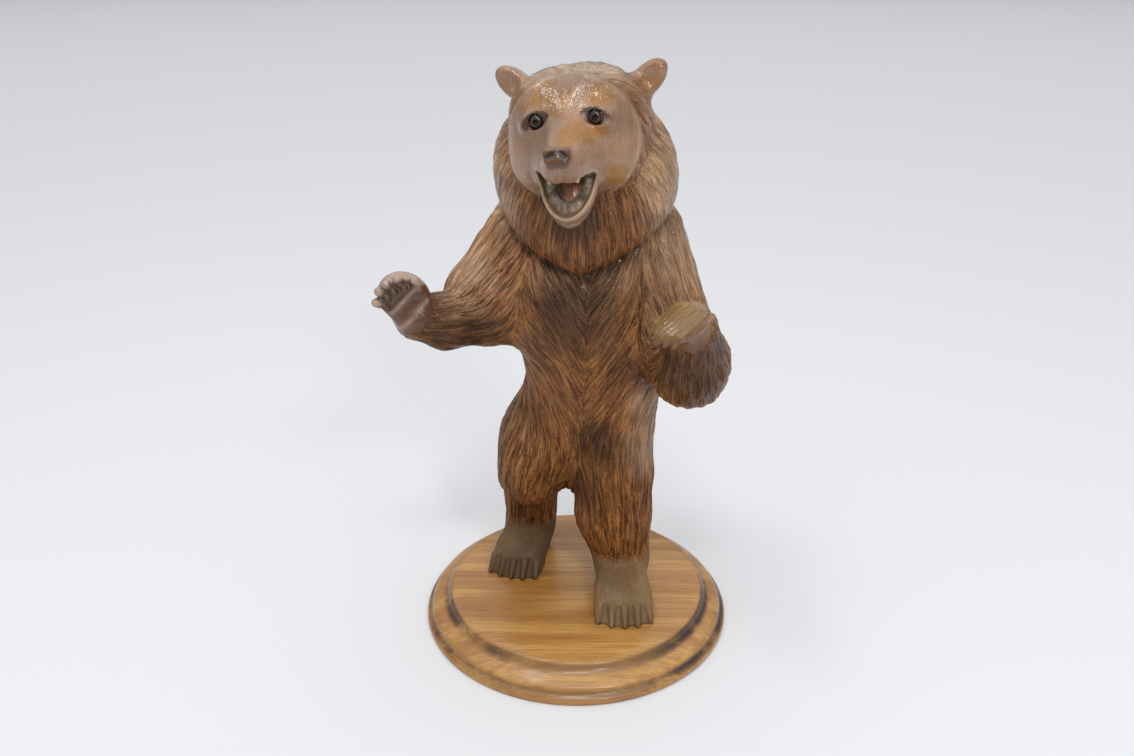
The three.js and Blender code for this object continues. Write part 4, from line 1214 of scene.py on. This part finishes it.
def plinth_material():
    m = Paint("oak")
    place = m.here()
    y = m.node("SeparateXYZ", Vector=place).outputs[1]
    board = m.math("FLOOR", m.times(m.plus(y, FIRST_JOINT), BOARDS_IN_A_METRE))
    shift = m.node("CombineXYZ", X=m.times(board, 3.7), Y=m.times(board, 1.9), Z=board)
    moved = m.node("VectorMath", {"operation": "ADD"})
    m.feed(moved.inputs[0], place)
    m.feed(moved.inputs[1], shift.outputs[0])
    base = moved.outputs[0]
    rings = m.noise(1.0, m.stretched((4.0, 46.0, 20.0), base), detail=4.0, roughness=0.55, distortion=0.6)
    streaks = m.noise(1.0, m.stretched((14.0, 330.0, 330.0), base), detail=3.0, roughness=0.65)
    pores = m.noise(1.0, m.stretched((60.0, 1500.0, 1500.0), base), detail=1.0)
    tone = m.noise(1.0, m.stretched((0.0, 11.0, 0.0), base), detail=0.0)
    colour = m.mix(m.spread(rings, 0.38, 0.62), DARK_OAK, PALE_OAK)
    colour = m.mix(m.spread(streaks, 0.35, 0.7, 0.0, 0.6), colour, STREAK)
    colour = m.mix(m.spread(pores, 0.6, 0.7, 0.0, 0.45), colour, PORE)
    broken = m.noise(1.0, m.stretched((9.0, 30.0, 30.0)), detail=5.0, roughness=0.65)
    # Grime and painted shade in the coves and along the foot
    share = m.times(m.attribute("grime_and_shade"), m.spread(broken, 0.36, 0.58, 0.2, 1.0))
    colour = m.mix(share, colour, COVE_GRIME_AND_SHADE)
    rough = m.spread(tone, 0.3, 0.7, 0.3, 0.4)
    height = m.plus(m.times(streaks, -0.6), m.times(pores, -0.6))
    normal = m.bump(height, 0.0004, 0.6)
    return m.finish(Base_Color=colour, Roughness=rough, Normal=normal,
                    Coat_Weight=0.25, Coat_Roughness=0.15)


# Glass eyes: how round each ball is, and its colours, with painted shade darkening the white on the right
EYE_STEPS, EYE_ROWS = 48, 32
EYE_WHITES = {"eye_left": (0.26, 0.16, 0.12), "eye_right": (0.035, 0.018, 0.011)}
IRIS_DARK, IRIS_PALE = (0.035, 0.019, 0.012), (0.1, 0.062, 0.045)
IRIS_RING, PUPIL = (0.01, 0.006, 0.004), (0.002, 0.002, 0.002)


def make_eye(side):
    """A glass ball, turned so that its own -Y looks where the eye looks."""
    angle = np.pi * np.arange(EYE_ROWS + 1) / EYE_ROWS
    profile = np.column_stack([EYE_RADIUS * np.sin(angle), -EYE_RADIUS * np.cos(angle)])
    obj = turned("eye_glass_" + ("left" if side > 0 else "right"), profile, EYE_STEPS)
    at = HEAD_AT + np.array((side * EYE_AT[0], *EYE_AT[1:])) @ HEAD_AXES
    obj.matrix_world = Matrix.Translation(Vector(at * MM)) @ Matrix(HEAD_AXES.T.tolist()).to_4x4()
    return obj


def eye_material(name, white):
    m = Paint(name)
    split = m.node("SeparateXYZ", Vector=m.here())
    x, y, z = (split.outputs[n] for n in range(3))
    x_square, z_square = m.times(x, x), m.times(z, z)
    off = m.math("SQRT", m.plus(x_square, z_square))
    upright_oval = m.math("SQRT", m.plus(x_square, m.times(z_square, 0.45)))
    front = m.spread(y, -0.001, 0.001, 1.0, 0.0)
    iris = m.times(m.spread(upright_oval, 0.0039, 0.0045, 1.0, 0.0), front)
    pupil = m.times(m.spread(off, 0.0018, 0.0022, 1.0, 0.0), front)
    flecks = m.noise(900.0, detail=2.0)
    colour = m.mix(iris, white, m.mix(flecks, IRIS_DARK, IRIS_PALE))
    colour = m.mix(m.times(iris, m.spread(off, 0.0032, 0.0038)), colour, IRIS_RING)
    colour = m.mix(pupil, colour, PUPIL)
    rough = m.spread(flecks, 0.3, 0.7, 0.04, 0.07)
    return m.finish(Base_Color=colour, Roughness=rough, Specular_IOR_Level=0.35)


# Camera, at the photograph's own viewpoint, with its place, lens and sensor in millimetres
CAMERA_AT = (-7.7, -745.5, 554.6)
CAMERA_PITCH = 24.5
LENS = 33.33
SENSOR = 36


def make_camera():
    data = bpy.data.cameras.new("camera")
    data.lens = LENS
    data.sensor_width = SENSOR
    data.clip_end = 60
    camera = bpy.data.objects.new("camera", data)
    camera.location = Vector(CAMERA_AT) * MM
    camera.rotation_euler = (np.radians(90 - CAMERA_PITCH), 0, 0)
    bpy.context.scene.collection.objects.link(camera)
    bpy.context.scene.camera = camera


# Soft daylight from a panel over the room, and three lamps for the glints on the varnish:
# each with its place, what it aims at and its size in metres, and its power in watts
LIGHTS = {
    "sky_panel": ((0, 2, 4), (0, 2, 0), (12, 12), 330),
    "lamp_above": ((-0.52, -0.2, 1.8), (0, 0, 0.35), (0.4, 0.25), 3.4),
    "lamp_ahead": ((0, -1.0, 1.8), (0, 0, 0.35), (0.45, 0.25), 6),
    "lamp_low": ((0.6, -1.5, 1.4), (0, 0, 0.35), (0.3, 0.3), 7),
}
FLOOR_REACH = 9
FLOOR_WHITE = (0.79, 0.8, 0.82, 1)
ROOM_WHITE, ROOM_STRENGTH = (0.95, 0.97, 1.0, 1), 0.3


def make_light(name, place, target, size, power):
    data = bpy.data.lights.new(name, "AREA")
    data.shape = "RECTANGLE"
    data.size, data.size_y = size
    data.energy = power
    light = bpy.data.objects.new(name, data)
    light.location = place
    light.rotation_euler = (Vector(target) - Vector(place)).to_track_quat("-Z", "Y").to_euler()
    bpy.context.scene.collection.objects.link(light)


def make_room():
    corners = np.array([(-1, -1, 0), (1, -1, 0), (1, 1, 0), (-1, 1, 0)])
    floor = mesh_object("floor", corners * FLOOR_REACH / MM, np.array([[0, 1, 2, 3]]))
    floor.data.materials.append(Paint("pale_floor").finish(Base_Color=FLOOR_WHITE, Roughness=0.8))
    world = bpy.data.worlds.new("room")
    world.use_nodes = True
    background = world.node_tree.nodes["Background"]
    background.inputs["Color"].default_value = ROOM_WHITE
    background.inputs["Strength"].default_value = ROOM_STRENGTH
    bpy.context.scene.world = world
    bpy.context.scene.view_settings.view_transform = "Standard"
    for name, (place, target, size, power) in LIGHTS.items():
        make_light(name, place, target, size, power)


make_camera()
carved = carve_bear()
stain_bear(carved)
carved.data.materials.append(bear_material())
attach(carved, "root")
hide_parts("bear")

plinth = make_plinth()
plinth.data.materials.append(plinth_material())
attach(plinth, "root")
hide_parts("plinth")

for eye_side, node in ((1, "eye_left"), (-1, "eye_right")):
    eye = make_eye(eye_side)
    eye.data.materials.append(eye_material(node + "_glass", EYE_WHITES[node]))
    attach(eye, "root")
    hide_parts(node)

make_room()
